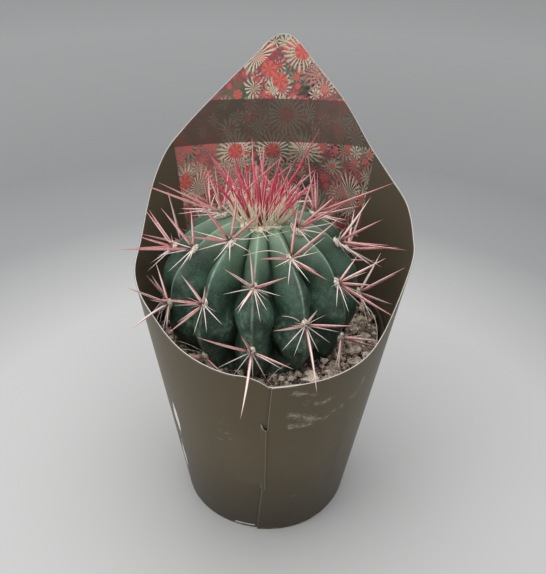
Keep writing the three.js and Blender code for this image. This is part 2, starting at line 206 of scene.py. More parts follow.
def build(name, shape, *finishes):
    """Makes an object of a shape in millimetres, and frees the shape."""
    bmesh.ops.scale(shape, vec=(MM, MM, MM), verts=shape.verts)
    mesh = bpy.data.meshes.new(name)
    shape.to_mesh(mesh)
    shape.free()
    for finish in finishes:
        mesh.materials.append(finish)
    return put(name, mesh)


floor_finish, spot = new_finish("studio_floor")
# Painted light: the floor's colour rises and falls with the distance from the plant.
spot.surface(spot.vector("LENGTH", output=1).ramp(*FLOOR_PAINTED_LIGHT), 0.7)
floor_shape = bmesh.new()
bmesh.ops.create_circle(floor_shape, cap_ends=True, segments=96, radius=FLOOR_RADIUS)
floor = build("studio_floor", floor_shape, floor_finish)

for name, place, side, power in LIGHTS:
    lamp = bpy.data.lights.new(name, "AREA")
    lamp.size = side * MM
    lamp.energy = power
    light = put(name, lamp)
    light.location = Vector(place) * MM
    ray = Vector(LIT_PLACE) - Vector(place)
    light.rotation_euler = ray.to_track_quat("-Z", "Y").to_euler()

world = bpy.data.worlds.new("studio")
bpy.context.scene.world = world
world.use_nodes = True
backdrop = world.node_tree.nodes["Background"].inputs
backdrop["Color"].default_value = (*WORLD_LIGHT, 1)
backdrop["Strength"].default_value = WORLD_STRENGTH
bpy.context.scene.view_settings.view_transform = "Standard"

# Nursery pot
# A thin cone of dark brown polypropylene, blow-formed in one piece, with a rolled rim and six
# drain holes in a base that is raised between its disc and its foot ring.
SLEEVE_BASE_RADIUS = 46.5
SLEEVE_SLOPE = 0.151
CARD = 0.7
GAP = 0.3
POT_HEIGHT = 110
POT_WALL = 1.2
RIM_FOOT = 102
RIM_STEP = 1.2
RIM_WIDTH = 2.2
RIM_ROUND = 0.8
POT_ROUND = 0.3
BASE_RISE = 2.2
BASE_DISC_RADIUS = 14
FOOT_RING = (37.5, 42.5)
BASE_SLANT = 2
DRAIN_HOLES = 6
DRAIN_RADIUS = 4.5
DRAIN_CIRCLE = 25.5
POT_STEPS = 120
POT_BROWN = (0.030, 0.021, 0.016)
POT_DUST = (0.12, 0.095, 0.075)


def around(azimuth, radius, height):
    """A point by its azimuth in degrees: 0 is the front, -Y, and 90 is +X."""
    angle = math.radians(azimuth)
    return Vector((radius * math.sin(angle), -radius * math.cos(angle), height))


def azimuth_of(x, y):
    return math.degrees(math.atan2(x, -y)) % 360


def sleeve_radius(height):
    return SLEEVE_BASE_RADIUS + SLEEVE_SLOPE * height


def rim_radius(height):
    return sleeve_radius(height) - CARD - GAP


def pot_radius(height):
    return rim_radius(height) - RIM_STEP


def turned(profile, steps):
    """The closed surface that a profile of (radius, height) makes, spun round the upright axis."""
    shape = bmesh.new()
    corners = [shape.verts.new((radius, 0, height)) for radius, height in profile]
    for low, high in zip(corners, corners[1:]):
        shape.edges.new((low, high))
    bmesh.ops.spin(shape, geom=shape.verts[:] + shape.edges[:], axis=(0, 0, 1), cent=(0, 0, 0),
                   angle=math.tau, steps=steps, use_merge=True)
    bmesh.ops.remove_doubles(shape, verts=shape.verts, dist=1e-4)
    bmesh.ops.recalc_face_normals(shape, faces=shape.faces)
    return shape


def seat(name, shape, finishes, slot, *nodes):
    """Makes a piece that rides on the root and stands for those nodes of the frame."""
    made = build(name, shape, *finishes)
    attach(made, "root")
    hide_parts(*nodes)
    return made


def smoothed(shape):
    for face in shape.faces:
        face.smooth = True
    return shape


foot_in, foot_out = FOOT_RING
raised = BASE_RISE + POT_WALL
pot_profile = [
    (0, 0), (BASE_DISC_RADIUS, 0), (BASE_DISC_RADIUS + BASE_SLANT, BASE_RISE),
    (foot_in - BASE_SLANT, BASE_RISE), (foot_in, 0), (foot_out, 0), (pot_radius(2), 2),
    (pot_radius(RIM_FOOT - 1), RIM_FOOT - 1), (rim_radius(RIM_FOOT), RIM_FOOT),
    (rim_radius(POT_HEIGHT - 1), POT_HEIGHT - 1), (rim_radius(POT_HEIGHT) - RIM_ROUND, POT_HEIGHT),
    (rim_radius(POT_HEIGHT) - RIM_WIDTH, POT_HEIGHT - RIM_ROUND / 2),
    (pot_radius(RIM_FOOT) - POT_WALL, RIM_FOOT - 1), (foot_out - 0.4, POT_WALL + 0.6),
    (foot_in + 1, POT_WALL), (foot_in - BASE_SLANT, raised),
    (BASE_DISC_RADIUS + BASE_SLANT, raised), (BASE_DISC_RADIUS - 0.4, POT_WALL), (0, POT_WALL),
]
pot_shape = turned(pot_profile, POT_STEPS)
sharp = [edge for edge in pot_shape.edges if edge.calc_face_angle(0) > math.radians(20)]
bmesh.ops.bevel(pot_shape, geom=sharp, offset=POT_ROUND, offset_type="OFFSET", segments=2,
                profile=0.5, affect="EDGES", clamp_overlap=True, material=-1)
drills = bmesh.new()
for hole in range(DRAIN_HOLES):
    hole_place = around((hole + 0.5) * 360 / DRAIN_HOLES, DRAIN_CIRCLE, BASE_RISE)
    bmesh.ops.create_cone(drills, cap_ends=True, segments=24, radius1=DRAIN_RADIUS,
                          radius2=DRAIN_RADIUS, depth=3 * raised, matrix=Matrix.Translation(hole_place))

pot_finish, spot = new_finish("brown_polypropylene")
dust = spot.grain(12, 4).rise(0.5, 0.8)
dusty = (dust * 0.4).mix(POT_BROWN, POT_DUST)
spot.surface(dusty, dust * 0.25 + 0.42, spot.grain(0.6, 2), 0.04)
pot = seat("nursery_pot_moulded", smoothed(pot_shape), [pot_finish], "pot_plastic", "nursery_pot")
drill = build("drills", drills)
cut = pot.modifiers.new("drain_holes", "BOOLEAN")
cut.operation = "DIFFERENCE"
cut.object = drill
drilled = bpy.data.meshes.new_from_object(pot.evaluated_get(bpy.context.evaluated_depsgraph_get()))
pot.modifiers.remove(cut)
pot.data = drilled
bpy.data.objects.remove(drill)

# Potting soil
# Peat with bark crumbs, grit and a few pale lumps, filled in to just under the pot's rim and
# heaped a little against the stem. Roots and dried fibres lie in it and curl out of it.
SOIL_SEED = 811
SOIL_LEVEL = 105.5
SOIL_MOUNDS = [
    (86, 47, 4.5, 9), (-76, 47, 3.5, 8), (20, 42, 2.5, 6), (-22, 44, 1.5, 6), (150, 50, 2.5, 10),
    (205, 48, 2, 9),
]
STEM_CENTRE = Vector((-4.8, 1.5, 131))
SOIL_STEPS = 300
SOIL_INNER = 33
SOIL_RING_GAP = 0.55
SOIL_TOP = 99.5
SOIL_BRIM = 103.5
BRIM_ROUND = 0.3
# The hollow round the stem's neck, as radius and height, and how far down it centres on the stem.
SOIL_HOLLOW = [(25, 101), (29, 70), (0, 60)]
HOLLOW_CENTRED = 65
CRUMB_BATCHES = 32
CRUMBS = 40
CRUMB_RADII = (38, 57.5)
FIBRES = 120
FIBRE_REACH = 57
PEAT_DARK = (0.018, 0.013, 0.010)
PEAT_BROWN = (0.22, 0.155, 0.115)
SOIL_TAN = (0.60, 0.49, 0.38)
GRIT_PALE = (0.90, 0.82, 0.71)
# Roots and dried spines that lie where they show: thickness, tone, then the points of a curve.
FIBRE_ROUTES = [
    (0.55, 1.0, (49.1, 8.3, 118), (56.5, -1.5, 120), (57.5, -9.0, 114), (55.5, -18.5, 109)),
    (0.42, 0.8, (-50, -22, 112), (-44, -25, 117), (-36, -28, 113), (-24, -34, 110)),
    (0.35, 0.9, (-48, -30, 113), (-42, -32, 116), (-36, -31, 115), (-29, -33, 111)),
    (0.30, 0.7, (-46, -34, 112), (-40, -36, 114), (-33, -33, 112)),
    (0.30, 0.8, (0, -48, 109), (5, -43, 116), (13, -38, 113)),
    (0.34, 0.9, (31, -19, 113), (35, -30, 116), (36, -42, 108)),
    (0.28, 0.7, (26, -30, 111), (30, -38, 115), (24, -46, 108)),
    (0.25, 0.6, (44, -22, 110), (48, -14, 114), (52, -4, 110)),
]
# Lumps that lie where they show: azimuth, radius, size, flatness, tone from dark 0 to pale 1.
SOIL_LUMPS = [
    (27, 47.5, 6.5, 0.62, 0.72), (66, 55.0, 2.9, 0.85, 0.95), (57, 52.5, 5.6, 0.6, 0.5),
    (71, 47.0, 6.4, 0.75, 0.62), (78, 50.5, 4.2, 0.7, 0.45), (88, 49.5, 5.2, 0.7, 0.4),
    (84, 44.5, 4.4, 0.8, 0.66), (-62, 51.0, 7.6, 0.7, 0.26), (-74, 48.5, 5.0, 0.7, 0.3),
    (-37, 50.5, 5.0, 0.62, 0.55), (-44, 53.5, 3.2, 0.7, 0.4), (12, 51.5, 3.6, 0.6, 0.55),
    (40, 50.0, 4.6, 0.6, 0.45), (46, 45.5, 4.0, 0.7, 0.5), (-8, 51.5, 3.2, 0.6, 0.4),
    (100, 50.0, 3.6, 0.7, 0.6), (120, 52.0, 4.4, 0.7, 0.4), (160, 51.0, 5.0, 0.7, 0.55),
    (200, 50.0, 4.2, 0.7, 0.35), (235, 52.0, 4.8, 0.7, 0.6), (262, 51.0, 4.0, 0.7, 0.4),
]


def on_stem(point):
    """A point moved from the pot's axis to the stem's."""
    return point + Vector((STEM_CENTRE.x, STEM_CENTRE.y, 0))


def soil_radius(height):
    """How far the soil reaches, beside the pot's wall."""
    return pot_radius(height) - POT_WALL - GAP


def soil_height(x, y):
    crumbs = 0.7 * math.sin(x * 0.55 + 1) * math.cos(y * 0.5)
    swell = 0.5 * math.sin(x * 0.31 - y * 0.43)
    height = SOIL_LEVEL + crumbs + swell
    for azimuth, radius, rise, spread in SOIL_MOUNDS:
        top = around(azimuth, radius, 0)
        away = math.hypot(x - top.x, y - top.y) / spread
        height += rise * math.exp(-away * away)
    return height


def crumble(place, size):
    """Uneven height in millimetres at a place, with lumps of that size."""
    return noise.fractal(place / size, 0.6, 2.1, 4)


def add_lump(shape, place, size, flat, tone, levels):
    """A broken lump of soil: a ball pressed flat, knocked uneven and turned at random."""
    tone_layer = shape.verts.layers.float["tone"]
    turn = Matrix.Rotation(place.x * 3 + place.y, 4, "Z") @ Matrix.Rotation(place.y * 2, 4, "X")
    ball = bmesh.ops.create_icosphere(shape, subdivisions=levels, radius=1)
    for vert in ball["verts"]:
        knock = 1 + 0.65 * noise.noise(vert.co * 1.4 + place)
        if levels > 1:
            knock += 0.22 * crumble(vert.co + place, 0.4)
        broken = turn @ (vert.co * knock * size / 2)
        vert.co = place + Vector((broken.x, broken.y, broken.z * flat))
        vert[tone_layer] = tone


def gathered(shape, part):
    """Adds a part to a shape, and frees it."""
    mesh = bpy.data.meshes.new("part")
    part.to_mesh(mesh)
    part.free()
    shape.from_mesh(mesh)
    bpy.data.meshes.remove(mesh)


STRAND_VALUES = ("along", "streak", "age", "tone")


def strand_layers(shape):
    return [shape.verts.layers.float.new(name) for name in STRAND_VALUES]


def add_strand(shape, path, radius, sides, joints, age, tone, finish=0):
    """A closed round strand along a path of 0 to 1, with a radius at each place on it.

    Its vertices carry how far along they are, a streak value that runs lengthwise and that the spine
    finishes paint as highlight stripes, age and tone.
    """
    part = bmesh.new()
    bmesh.ops.create_cone(part, cap_ends=True, segments=sides, radius1=1, radius2=1, depth=1)
    if joints > 1:
        lengthwise = [
            edge for edge in part.edges if abs(edge.verts[0].co.z - edge.verts[1].co.z) > 0.5]
        bmesh.ops.subdivide_edges(part, edges=lengthwise, cuts=joints - 1)
    layers = strand_layers(part)
    for face in part.faces:
        face.material_index = finish
        face.smooth = True
    side = (path(1) - path(0)).orthogonal().normalized()
    for vert in part.verts:
        along = min(max(vert.co.z + 0.5, 0), 1)
        streak = 0.5 + 0.5 * math.sin(2 * math.atan2(vert.co.y, vert.co.x) + 1)
        ahead = (path(min(along + 0.02, 1)) - path(max(along - 0.02, 0))).normalized()
        across = (side - ahead * side.dot(ahead)).normalized()
        ring = across * vert.co.x + ahead.cross(across) * vert.co.y
        vert.co = path(along) + ring * radius(along)
        for layer, value in zip(layers, (along, streak, age, tone)):
            vert[layer] = value
    gathered(shape, part)


chance = random.Random(SOIL_SEED)
soil_profile = [
    *SOIL_HOLLOW, (0, POT_WALL + GAP),
    (BASE_DISC_RADIUS - 1, POT_WALL + GAP), (BASE_DISC_RADIUS + BASE_SLANT, raised + GAP),
    (foot_in - BASE_SLANT, raised + GAP), (foot_in + 1, POT_WALL + 1),
    (foot_out - 1.2, POT_WALL + 1.2), (soil_radius(SOIL_TOP), SOIL_TOP),
    (soil_radius(SOIL_BRIM), SOIL_BRIM + 0.5),
]
brim = soil_radius(SOIL_BRIM)
soil_profile += [
    (brim - BRIM_ROUND - SOIL_RING_GAP * ring, SOIL_LEVEL)
    for ring in range(int((brim - SOIL_INNER) / SOIL_RING_GAP))]
soil_profile.append(soil_profile[0])
soil_shape = smoothed(turned(soil_profile, SOIL_STEPS))
soil_tone = soil_shape.verts.layers.float.new("tone")
for vert in soil_shape.verts:
    radius = math.hypot(vert.co.x, vert.co.y)
    vert[soil_tone] = 0.3
    if vert.co.z > SOIL_LEVEL - 0.1:
        # The bed's tone follows its height: painted shade in the hollows, paler crumbs on the heights.
        lump = crumble(vert.co, 3.4) * 1.5 + abs(crumble(vert.co * 1.7, 2.0)) * 1.1 - 0.7
        vert.co.z = soil_height(vert.co.x, vert.co.y) + lump
        vert[soil_tone] = min(max(0.40 + lump * 0.26, 0), 1)
    if radius < SOIL_INNER + 1 and vert.co.z > HOLLOW_CENTRED:
        vert.co = on_stem(vert.co)

lumps = bmesh.new()
lumps.verts.layers.float.new("tone")
for azimuth, radius, size, flat, tone in SOIL_LUMPS:
    place = around(azimuth, radius, 0)
    place.z = soil_height(place.x, place.y) + size * flat * 0.22
    add_lump(lumps, place, size * 1.35, flat, tone, 4)
gathered(soil_shape, lumps)
for _ in range(CRUMB_BATCHES):
    crumbs = bmesh.new()
    crumbs.verts.layers.float.new("tone")
    for _ in range(CRUMBS):
        azimuth, squared = chance.uniform(0, 360), chance.uniform(*(r * r for r in CRUMB_RADII))
        place = around(azimuth, math.sqrt(squared), 0)
        size = 0.9 + 3.2 * chance.random() ** 2.4
        place.z = soil_height(place.x, place.y) + chance.uniform(-0.2, 0.5) * size
        flat = chance.uniform(0.6, 0.95)
        levels = 2 if size > 1.9 else 1
        add_lump(crumbs, place, size, flat, chance.uniform(0.12, 0.72), levels)
    gathered(soil_shape, crumbs)


def curve_through(points):
    """A path from the first point to the last, drawn towards those between."""
    def path(t):
        row = points
        while len(row) > 1:
            row = [start.lerp(end, t) for start, end in zip(row, row[1:])]
        return row[0]

    return path


fibres = bmesh.new()
strand_layers(fibres)
for thick, tone, *route in FIBRE_ROUTES:
    add_strand(fibres, curve_through([Vector(point) for point in route]),
               lambda t: thick / 2 * (1.15 - 0.8 * t), 6, 14, 0, tone)
for _ in range(FIBRES):
    start = around(chance.uniform(0, 360), chance.uniform(40, 56), 0)
    end = start + around(chance.uniform(0, 360), chance.uniform(4, 13), 0)
    end *= min(1, FIBRE_REACH / end.length)
    middle = (start + end) / 2 + around(chance.uniform(0, 360), 2, 0)
    for point, lift in ((start, 0.3), (middle, chance.uniform(0.8, 4)), (end, 0.3)):
        point.z = soil_height(point.x, point.y) + lift
    thick = chance.uniform(0.1, 0.28)
    add_strand(fibres, curve_through([start, middle, end]), lambda t: thick / 2 * (1.2 - t), 4, 6,
               0, chance.uniform(0.35, 0.95))
gathered(soil_shape, fibres)

soil_finish, spot = new_finish("peat_and_bark")
specks = spot.grain(1.1, 5, 0.65)
tone = spot.stored("tone") + (specks - 0.5) * 1.15 + (spot.grain(4.2, 3) - 0.5) * 0.5
earth = tone.ramp((0.10, PEAT_DARK), (0.34, PEAT_BROWN), (0.57, SOIL_TAN), (0.86, GRIT_PALE))
spot.surface(earth, 0.92, specks + spot.grain(0.5, 3) * 0.5, 0.7)
seat("potting_soil_bed", soil_shape, [soil_finish], "potting_soil", "potting_soil")

# Stem
# One round body of 13 ribs, grown from a sunken crown of wool down to a root neck in the soil.
# Its skin is blue-green, waxy and finely dotted, and scuffed low in front. Painted into its colour
# are a highlight along the crests, shade in the grooves and light on the upper part, where the
# young growth is paler too.
STEM_RADIUS = 50
STEM_HALF_HEIGHT = 46
RIBS = 13
RIB_PITCH = 360 / RIBS
RIB_TURN = -3.5
RIB_UNEVEN = 4
GROOVE_DEPTH = 0.26
GROOVE_SOFT = 0.1
GROOVE_GROWS = (6, 45)
GROOVE_FADES = (119, 129)
CROWN_SINK = 5
CROWN_WIDTH = 14
SKIN_END = 129
SKIN_SHARE = 0.93
# The neck below the skin, as share of the way down it, radius and height.
NECK = [(0.3, 20, 90), (0.9, 8, 64), (1, 0, 62)]
RIB_COLUMNS = 26
SKIN_ROWS = 124
# Areoles climb the ribs in a 5 and 13 spiral, each a step of the offset lower than the last.
POLAR_PER_TURN = 38.5
SPIRAL_OFFSET = 5.41
SPIRAL_STEP = 8
BELLY = 0.026
BELLY_SWAY = 2.2
CREASE = 0.055
BELLY_GROWS = (22, 60)
CREASE_GROWS = (10, 40)
BELLY_FADES = (112, SKIN_END)
SKIN_GREEN = (0.045, 0.103, 0.064)
SKIN_DEEP_AND_SHADE = (0.013, 0.034, 0.021)
SKIN_YOUNG_AND_LIT = (0.26, 0.38, 0.26)
CREST_HIGHLIGHT = (0.30, 0.39, 0.28)
SCUFF_PALE = (0.34, 0.42, 0.36)


def smoothstep(value, low, high):
    share = min(max((value - low) / (high - low), 0), 1)
    return share * share * (3 - 2 * share)


def turn_to_azimuth(turn):
    return turn + RIB_TURN + RIB_UNEVEN * math.sin(math.radians(turn))


def azimuth_to_turn(azimuth):
    turn = azimuth - RIB_TURN
    for _ in range(4):
        turn = azimuth - RIB_TURN - RIB_UNEVEN * math.sin(math.radians(turn))
    return turn


def across_rib(turn):
    """0 on a crest and 1 in a groove."""
    step = (turn / RIB_PITCH) % 1
    return 2 * min(step, 1 - step)


def rib_factor(turn, polar):
    """How much the skin is drawn in at an angle from the top, from 1 on a crest."""
    depth = GROOVE_DEPTH * smoothstep(polar, *GROOVE_GROWS) * (1 - smoothstep(polar, *GROOVE_FADES))
    plump = 1.2 + 0.7 * smoothstep(polar, 40, 95)
    low, here, high = ((t * t + GROOVE_SOFT ** 2) ** (plump / 2) for t in (0, across_rib(turn), 1))
    return 1 - depth * (here - low) / (high - low)


def crown_dip(polar):
    return CROWN_SINK * math.exp(-((polar / CROWN_WIDTH) ** 2))


def stem_point(turn, polar, swell=0.0):
    factor = rib_factor(turn, polar) + swell
    side = STEM_RADIUS * math.sin(math.radians(polar)) * factor
    rise = STEM_HALF_HEIGHT * math.cos(math.radians(polar)) * factor - crown_dip(polar)
    return around(turn_to_azimuth(turn), side, rise) + STEM_CENTRE


def belly(rib, polar):
    """How far a rib stands out between one areole and the next, from 0 to 1."""
    first = SPIRAL_STEP * rib % RIBS
    number = polar / POLAR_PER_TURN * RIBS - SPIRAL_OFFSET
    full = smoothstep(polar, *BELLY_GROWS) * (1 - smoothstep(polar, *BELLY_FADES))
    return full * math.sin(math.pi * (number - first) / RIBS) ** 2


def skin_point(turn, polar):
    rib = math.floor(turn / RIB_PITCH)
    step = turn / RIB_PITCH - rib
    left, right = belly(rib % RIBS, polar), belly((rib + 1) % RIBS, polar)
    across = across_rib(turn)
    swell = BELLY * (left if step < 0.5 else right) * (1 - across * across)
    creased = smoothstep(polar, *CREASE_GROWS) * (1 - smoothstep(polar, *BELLY_FADES))
    swell -= CREASE * across ** 9 * creased
    point = stem_point(turn, polar, swell)
    sway = BELLY_SWAY * (left - right) * math.sin(math.pi * step)
    centre = Matrix.Translation(STEM_CENTRE)
    return centre @ Matrix.Rotation(math.radians(sway), 4, "Z") @ centre.inverted() @ point


stem_shape = bmesh.new()
bmesh.ops.create_uvsphere(stem_shape, u_segments=RIBS * RIB_COLUMNS, v_segments=SKIN_ROWS, radius=1)
stem_across = stem_shape.verts.layers.float.new("across")
stem_down = stem_shape.verts.layers.float.new("down")
for vert in stem_shape.verts:
    column = round(azimuth_of(vert.co.x, vert.co.y) / RIB_PITCH * RIB_COLUMNS)
    turn = column / RIB_COLUMNS * RIB_PITCH
    down = math.acos(max(-1, min(1, vert.co.z))) / math.pi
    vert[stem_across] = across_rib(turn)
    vert[stem_down] = min(down / SKIN_SHARE, 1)
    if down <= SKIN_SHARE:
        vert.co = skin_point(turn, down / SKIN_SHARE * SKIN_END)
        vert.co += (vert.co - STEM_CENTRE).normalized() * noise.noise(vert.co / 14) * 0.3
    else:
        low = skin_point(turn, SKIN_END)
        rings = [(0, math.hypot(low.x - STEM_CENTRE.x, low.y - STEM_CENTRE.y), low.z), *NECK]
        for start, end in zip(rings, rings[1:]):
            share = ((down - SKIN_SHARE) / (1 - SKIN_SHARE) - start[0]) / (end[0] - start[0])
            if share <= 1.0001:
                break
        _, radius, height = (a + (b - a) * share for a, b in zip(start, end))
        vert.co = on_stem(around(turn_to_azimuth(turn), radius, height))
bmesh.ops.recalc_face_normals(stem_shape, faces=stem_shape.faces)

skin_finish, spot = new_finish("cactus_skin")
across, down = spot.stored("across"), spot.stored("down")
cloud = spot.grain(11, 4)
dots = spot.grain(0.55, 2)
streak = spot.grain(2.6, 5, 0.6)
green = cloud.rise(0.3, 0.7).mix(SKIN_DEEP_AND_SHADE, SKIN_GREEN)
# Paler young growth towards the crown, which also carries painted light on the upper part.
green = (down.rise(0.46, 0.10) * (cloud * 0.5 + 0.6)).mix(green, SKIN_YOUNG_AND_LIT)
# Painted shade: the colour darkens towards the bottom of each groove.
green = (across.rise(1.0, 0.80) * 0.9 + 0.1).mix(SKIN_DEEP_AND_SHADE, green)
# Painted highlight along the crests, stronger towards the top.
lit_crest = across.rise(0.07, 0.0) * (streak.rise(0.25, 0.6) * 0.8 + 0.2)
green = (lit_crest * (down.rise(0.85, 0.35) * 0.8 + 0.2) * 0.8).mix(green, CREST_HIGHLIGHT)
front = (spot.split()[1] / MM).rise(0, -30)
worn = streak.rise(0.40, 0.70) * cloud.rise(0.38, 0.62) * down.rise(0.38, 0.70) * front
green = (worn * 0.45 + dots.rise(0.56, 0.72) * 0.26).mix(green, SCUFF_PALE)
spot.surface(green, worn * 0.25 + cloud * 0.16 + 0.36, dots * 0.5 + streak, 0.18)
seat("cactus_stem_skin", smoothed(stem_shape), [skin_finish], "stem_skin", "cactus_stem")

# Areoles and spines
# A felt pad on a crest, with some four thick central spines, five thin radial ones and a few
# fine bristles grown out of it. Spines are dark at the root, red when young and pink-white later.
SLEEVE_EDGE = [
    (0, 120.5), (12, 121.5), (35, 122.5), (48, 124.5), (57.5, 131.5), (66, 147), (73, 158),
    (80, 162), (90, 163.5), (98, 167.5), (106, 172), (120, 177.5), (130, 184), (138, 191.5),
    (150, 207.5), (164, 225), (172, 236.5), (177.5, 240), (183, 235.5), (190, 226), (205, 209),
    (220, 195), (230, 186.5), (240, 174.5), (248, 163.5), (256, 154), (264, 149), (282, 146.5),
    (296, 144), (306, 141), (313, 136), (322, 131), (334, 127.5), (344, 126), (351, 126),
    (356, 124), (360, 120.5),
]
FLAP_LIFT = 1.05
LAST_AREOLE = 31
# Half the width, length and depth of a pad.
PAD_SIZE = (2.3, 3.4, 1.6)
PAD_FIBRES = 60
PAD_SEED = 600
SPRAY_SEED = 300
CENTRAL_NECK = 0.6
YOUNG_NECK = 0.42
NECK_END = 0.28
# Radial spines are placed as if they had the first of these radii, and made with the second.
RADIAL_RADIUS = 0.38
FINE_RADIUS = 0.3
CENTRAL_RADIUS = 0.75
BRISTLE_RADIUS = 0.15
FELT_RADIUS = 0.075
BRISTLES = 5
CENTRAL_CLOCKS = [0, 76, 186, 288]
CENTRAL_TILT = 52
CENTRAL_LENGTH = 27
RADIAL_CLOCKS = [104, 139, 166, 214, 250]
RADIAL_TILT = 68
RADIAL_LENGTH = 16.5
# The centrals that show in front: areole, then clock from the crown, tilt off the surface's
# normal and length of each, with a droop where one hangs over the edge of the card.
FRONT_CENTRALS = {
    0: [(350, 20, 33), (15, 28, 27), (38, 42, 24)],
    2: [(180, 42, 34), (350, 64, 44), (265, 22, 24), (300, 45, 26)],
    3: [(8, 46, 34), (40, 26, 30), (118, 50, 25), (95, 62, 27)],
    5: [(290, 44, 32), (355, 54, 26), (22, 76, 22), (240, 66, 22)],
    6: [(208, 37, 43), (20, 38, 32), (80, 55, 27)],
    7: [(137, 40, 38), (30, 45, 27), (250, 55, 26)],
    8: [(18, 62, 26), (72, 58, 28), (145, 78, 20), (275, 68, 20)],
    10: [(290, 36, 26), (330, 58, 20), (205, 46, 35)],
    11: [(70, 24, 27), (125, 32, 26), (186, 44, 34), (160, 56, 28)],
    13: [(355, 58, 21), (299, 52, 19), (74, 56, 19), (208, 52, 17)],
    15: [(315, 24, 23), (285, 36, 23), (205, 24, 20), (100, 40, 24)],
    16: [(52, 58, 16), (80, 40, 26), (168, 50, 31), (130, 40, 18)],
    18: [(313, 75, 17), (266, 55, 24), (206, 60, 22), (30, 50, 20)],
    21: [(6, 46, 17), (96, 60, 23), (276, 78, 18), (192, 48, 32)],
    23: [(15, 36, 30), (65, 48, 49, 0.1), (322, 84, 22), (150, 76, 16)],
    24: [(30, 27, 31), (70, 34, 22), (30, 62, 23), (200, 20, 22)],
    26: [(350, 62, 20), (288, 82, 27), (186, 12, 41), (102, 76, 22)],
    29: [(90, 42, 22), (122, 40, 24), (215, 60, 18)],
    31: [(268, 68, 18), (238, 62, 17), (100, 76, 16)],
}
SPINE_CLEARANCE = 0.4
RIM_INSIDE = 55
# The first samples of a spine stand in the areole, and aren't tried.
ROOT_SAMPLES = 4
CELL = 2.0
TURNS = [0, 7, -7, 14, -14, 21, -21, 28, -28, 36, -36]
TILT_LIMIT = 88
TILTS = [0, -8, 8, -16, 14]
SHARES = [1, 0.85, 0.7, 0.55]
SPINE_SEED = 20417
# Stray hairs, as the points of a curve: the first is at the areole that each grows from.
HAIRS = [
    ((-18.2, -19.9, 172.9), (-10, -30, 177), (-2, -26, 178), (9, -14.4, 174.5)),
    ((8.6, -29.2, 169), (0, -33, 177), (-6, -31, 172), (-12.7, -29.2, 169)),
    ((13.8, -27.1, 167.3), (19.4, -27, 174), (26.2, -9.4, 168.5)),
    ((14.4, -44.9, 143.4), (11, -48, 149), (6, -45.6, 147)),
]
HAIR_RADIUS = 0.2
FELT_CREAM = (0.82, 0.75, 0.62)
FELT_DARK = (0.20, 0.12, 0.085)
FELT_WHITE = (0.92, 0.88, 0.80)
SPINE_ROOT = (0.075, 0.018, 0.014)
SPINE_RED = (0.45, 0.060, 0.075)
SPINE_PINK = (0.66, 0.29, 0.28)
SPINE_WHITE = (0.92, 0.83, 0.76)


def make_draw(seed):
    state = [seed]

    def draw(low, high):
        state[0] = state[0] * 16807 % 2147483647
        return low + (high - low) * state[0] / 2147483647

    return draw


def sleeve_top(azimuth):
    """The height of the sleeve's edge, on a smooth curve through the points of SLEEVE_EDGE."""
    last = len(SLEEVE_EDGE) - 1
    here = last - 1
    while here > 0 and SLEEVE_EDGE[here][0] > azimuth % 360:
        here -= 1

    def slope(k):
        before, after = SLEEVE_EDGE[max(k - 1, 0)], SLEEVE_EDGE[min(k + 1, last)]
        return (after[1] - before[1]) / (after[0] - before[0])

    (start, low), (end, high) = SLEEVE_EDGE[here:here + 2]
    run = end - start
    t = (azimuth % 360 - start) / run
    s = 1 - t
    return (low * s * s * (1 + 2 * t) + slope(here) * run * t * s * s
            + high * t * t * (1 + 2 * s) - slope(here + 1) * run * s * t * t)


def clear_of_stem(point, room):
    from_centre = point - STEM_CENTRE
    side = math.hypot(from_centre.x, from_centre.y) / STEM_RADIUS
    polar = math.degrees(math.atan2(side, from_centre.z / STEM_HALF_HEIGHT))
    lifted = from_centre.z + crown_dip(polar)
    polar = math.degrees(math.atan2(side, lifted / STEM_HALF_HEIGHT))
    skin = rib_factor(azimuth_to_turn(azimuth_of(from_centre.x, from_centre.y)), polar)
    return math.hypot(side, lifted / STEM_HALF_HEIGHT) >= skin + room / STEM_HALF_HEIGHT


def clear_of_pot(point, room):
    """Whether a spine can be there: off the stem, the card, the soil and the pot's rim."""
    if not clear_of_stem(point, room):
        return False
    radius = math.hypot(point.x, point.y)
    card = sleeve_radius(point.z)
    beside = radius < card - CARD - room or radius > card + FLAP_LIFT + room
    if not beside and point.z < sleeve_top(azimuth_of(point.x, point.y)) + room:
        return False
    if radius > card:
        return True
    over_soil = point.z > soil_height(point.x, point.y) + room
    return over_soil and (radius < RIM_INSIDE or point.z > POT_HEIGHT + room)


taken = {}


def cell_of(point):
    return tuple(math.floor(c / CELL) for c in point)


def clear_of_spines(point, room, owner):
    near = itertools.product(*((c - 1, c, c + 1) for c in cell_of(point)))
    return not any(
        other_owner != owner and (other - point).length <= thick + room
        for cell in near for other, thick, other_owner in taken.get(cell, ()))


def thickness(t):
    return 1 - 0.96 * t * t


def heading(place, clock, tilt):
    """The direction at a clock angle from the crown, tilted off the surface's normal."""
    _, normal, up, side = place
    off, hand = math.radians(tilt), math.radians(clock)
    return (normal * math.cos(off) + up * (math.sin(off) * math.cos(hand))
            + side * (math.sin(off) * math.sin(hand)))


def place_spine(owner, place, clock, tilt, length, radius, bow):
    """Tries a direction, then turns, lowers and shortens the spine until all of it is clear."""
    root = place[0]
    for share, lower, aside in itertools.product(SHARES, TILTS, TURNS):
        ahead = heading(place, clock + aside, min(tilt + lower, TILT_LIMIT))
        reach = length * share
        count = math.ceil(reach)
        samples = [
            (root + (ahead + bow * (i / count)) * (reach * i / count),
             radius * thickness(i / count), owner) for i in range(count + 1)]
        if all(clear_of_pot(point, thick + SPINE_CLEARANCE)
               and clear_of_spines(point, thick + SPINE_CLEARANCE, owner)
               for point, thick, _ in samples[ROOT_SAMPLES:]):
            for sample in samples:
                taken.setdefault(cell_of(sample[0]), []).append(sample)
            return root, ahead, bow, reach, radius
    return None


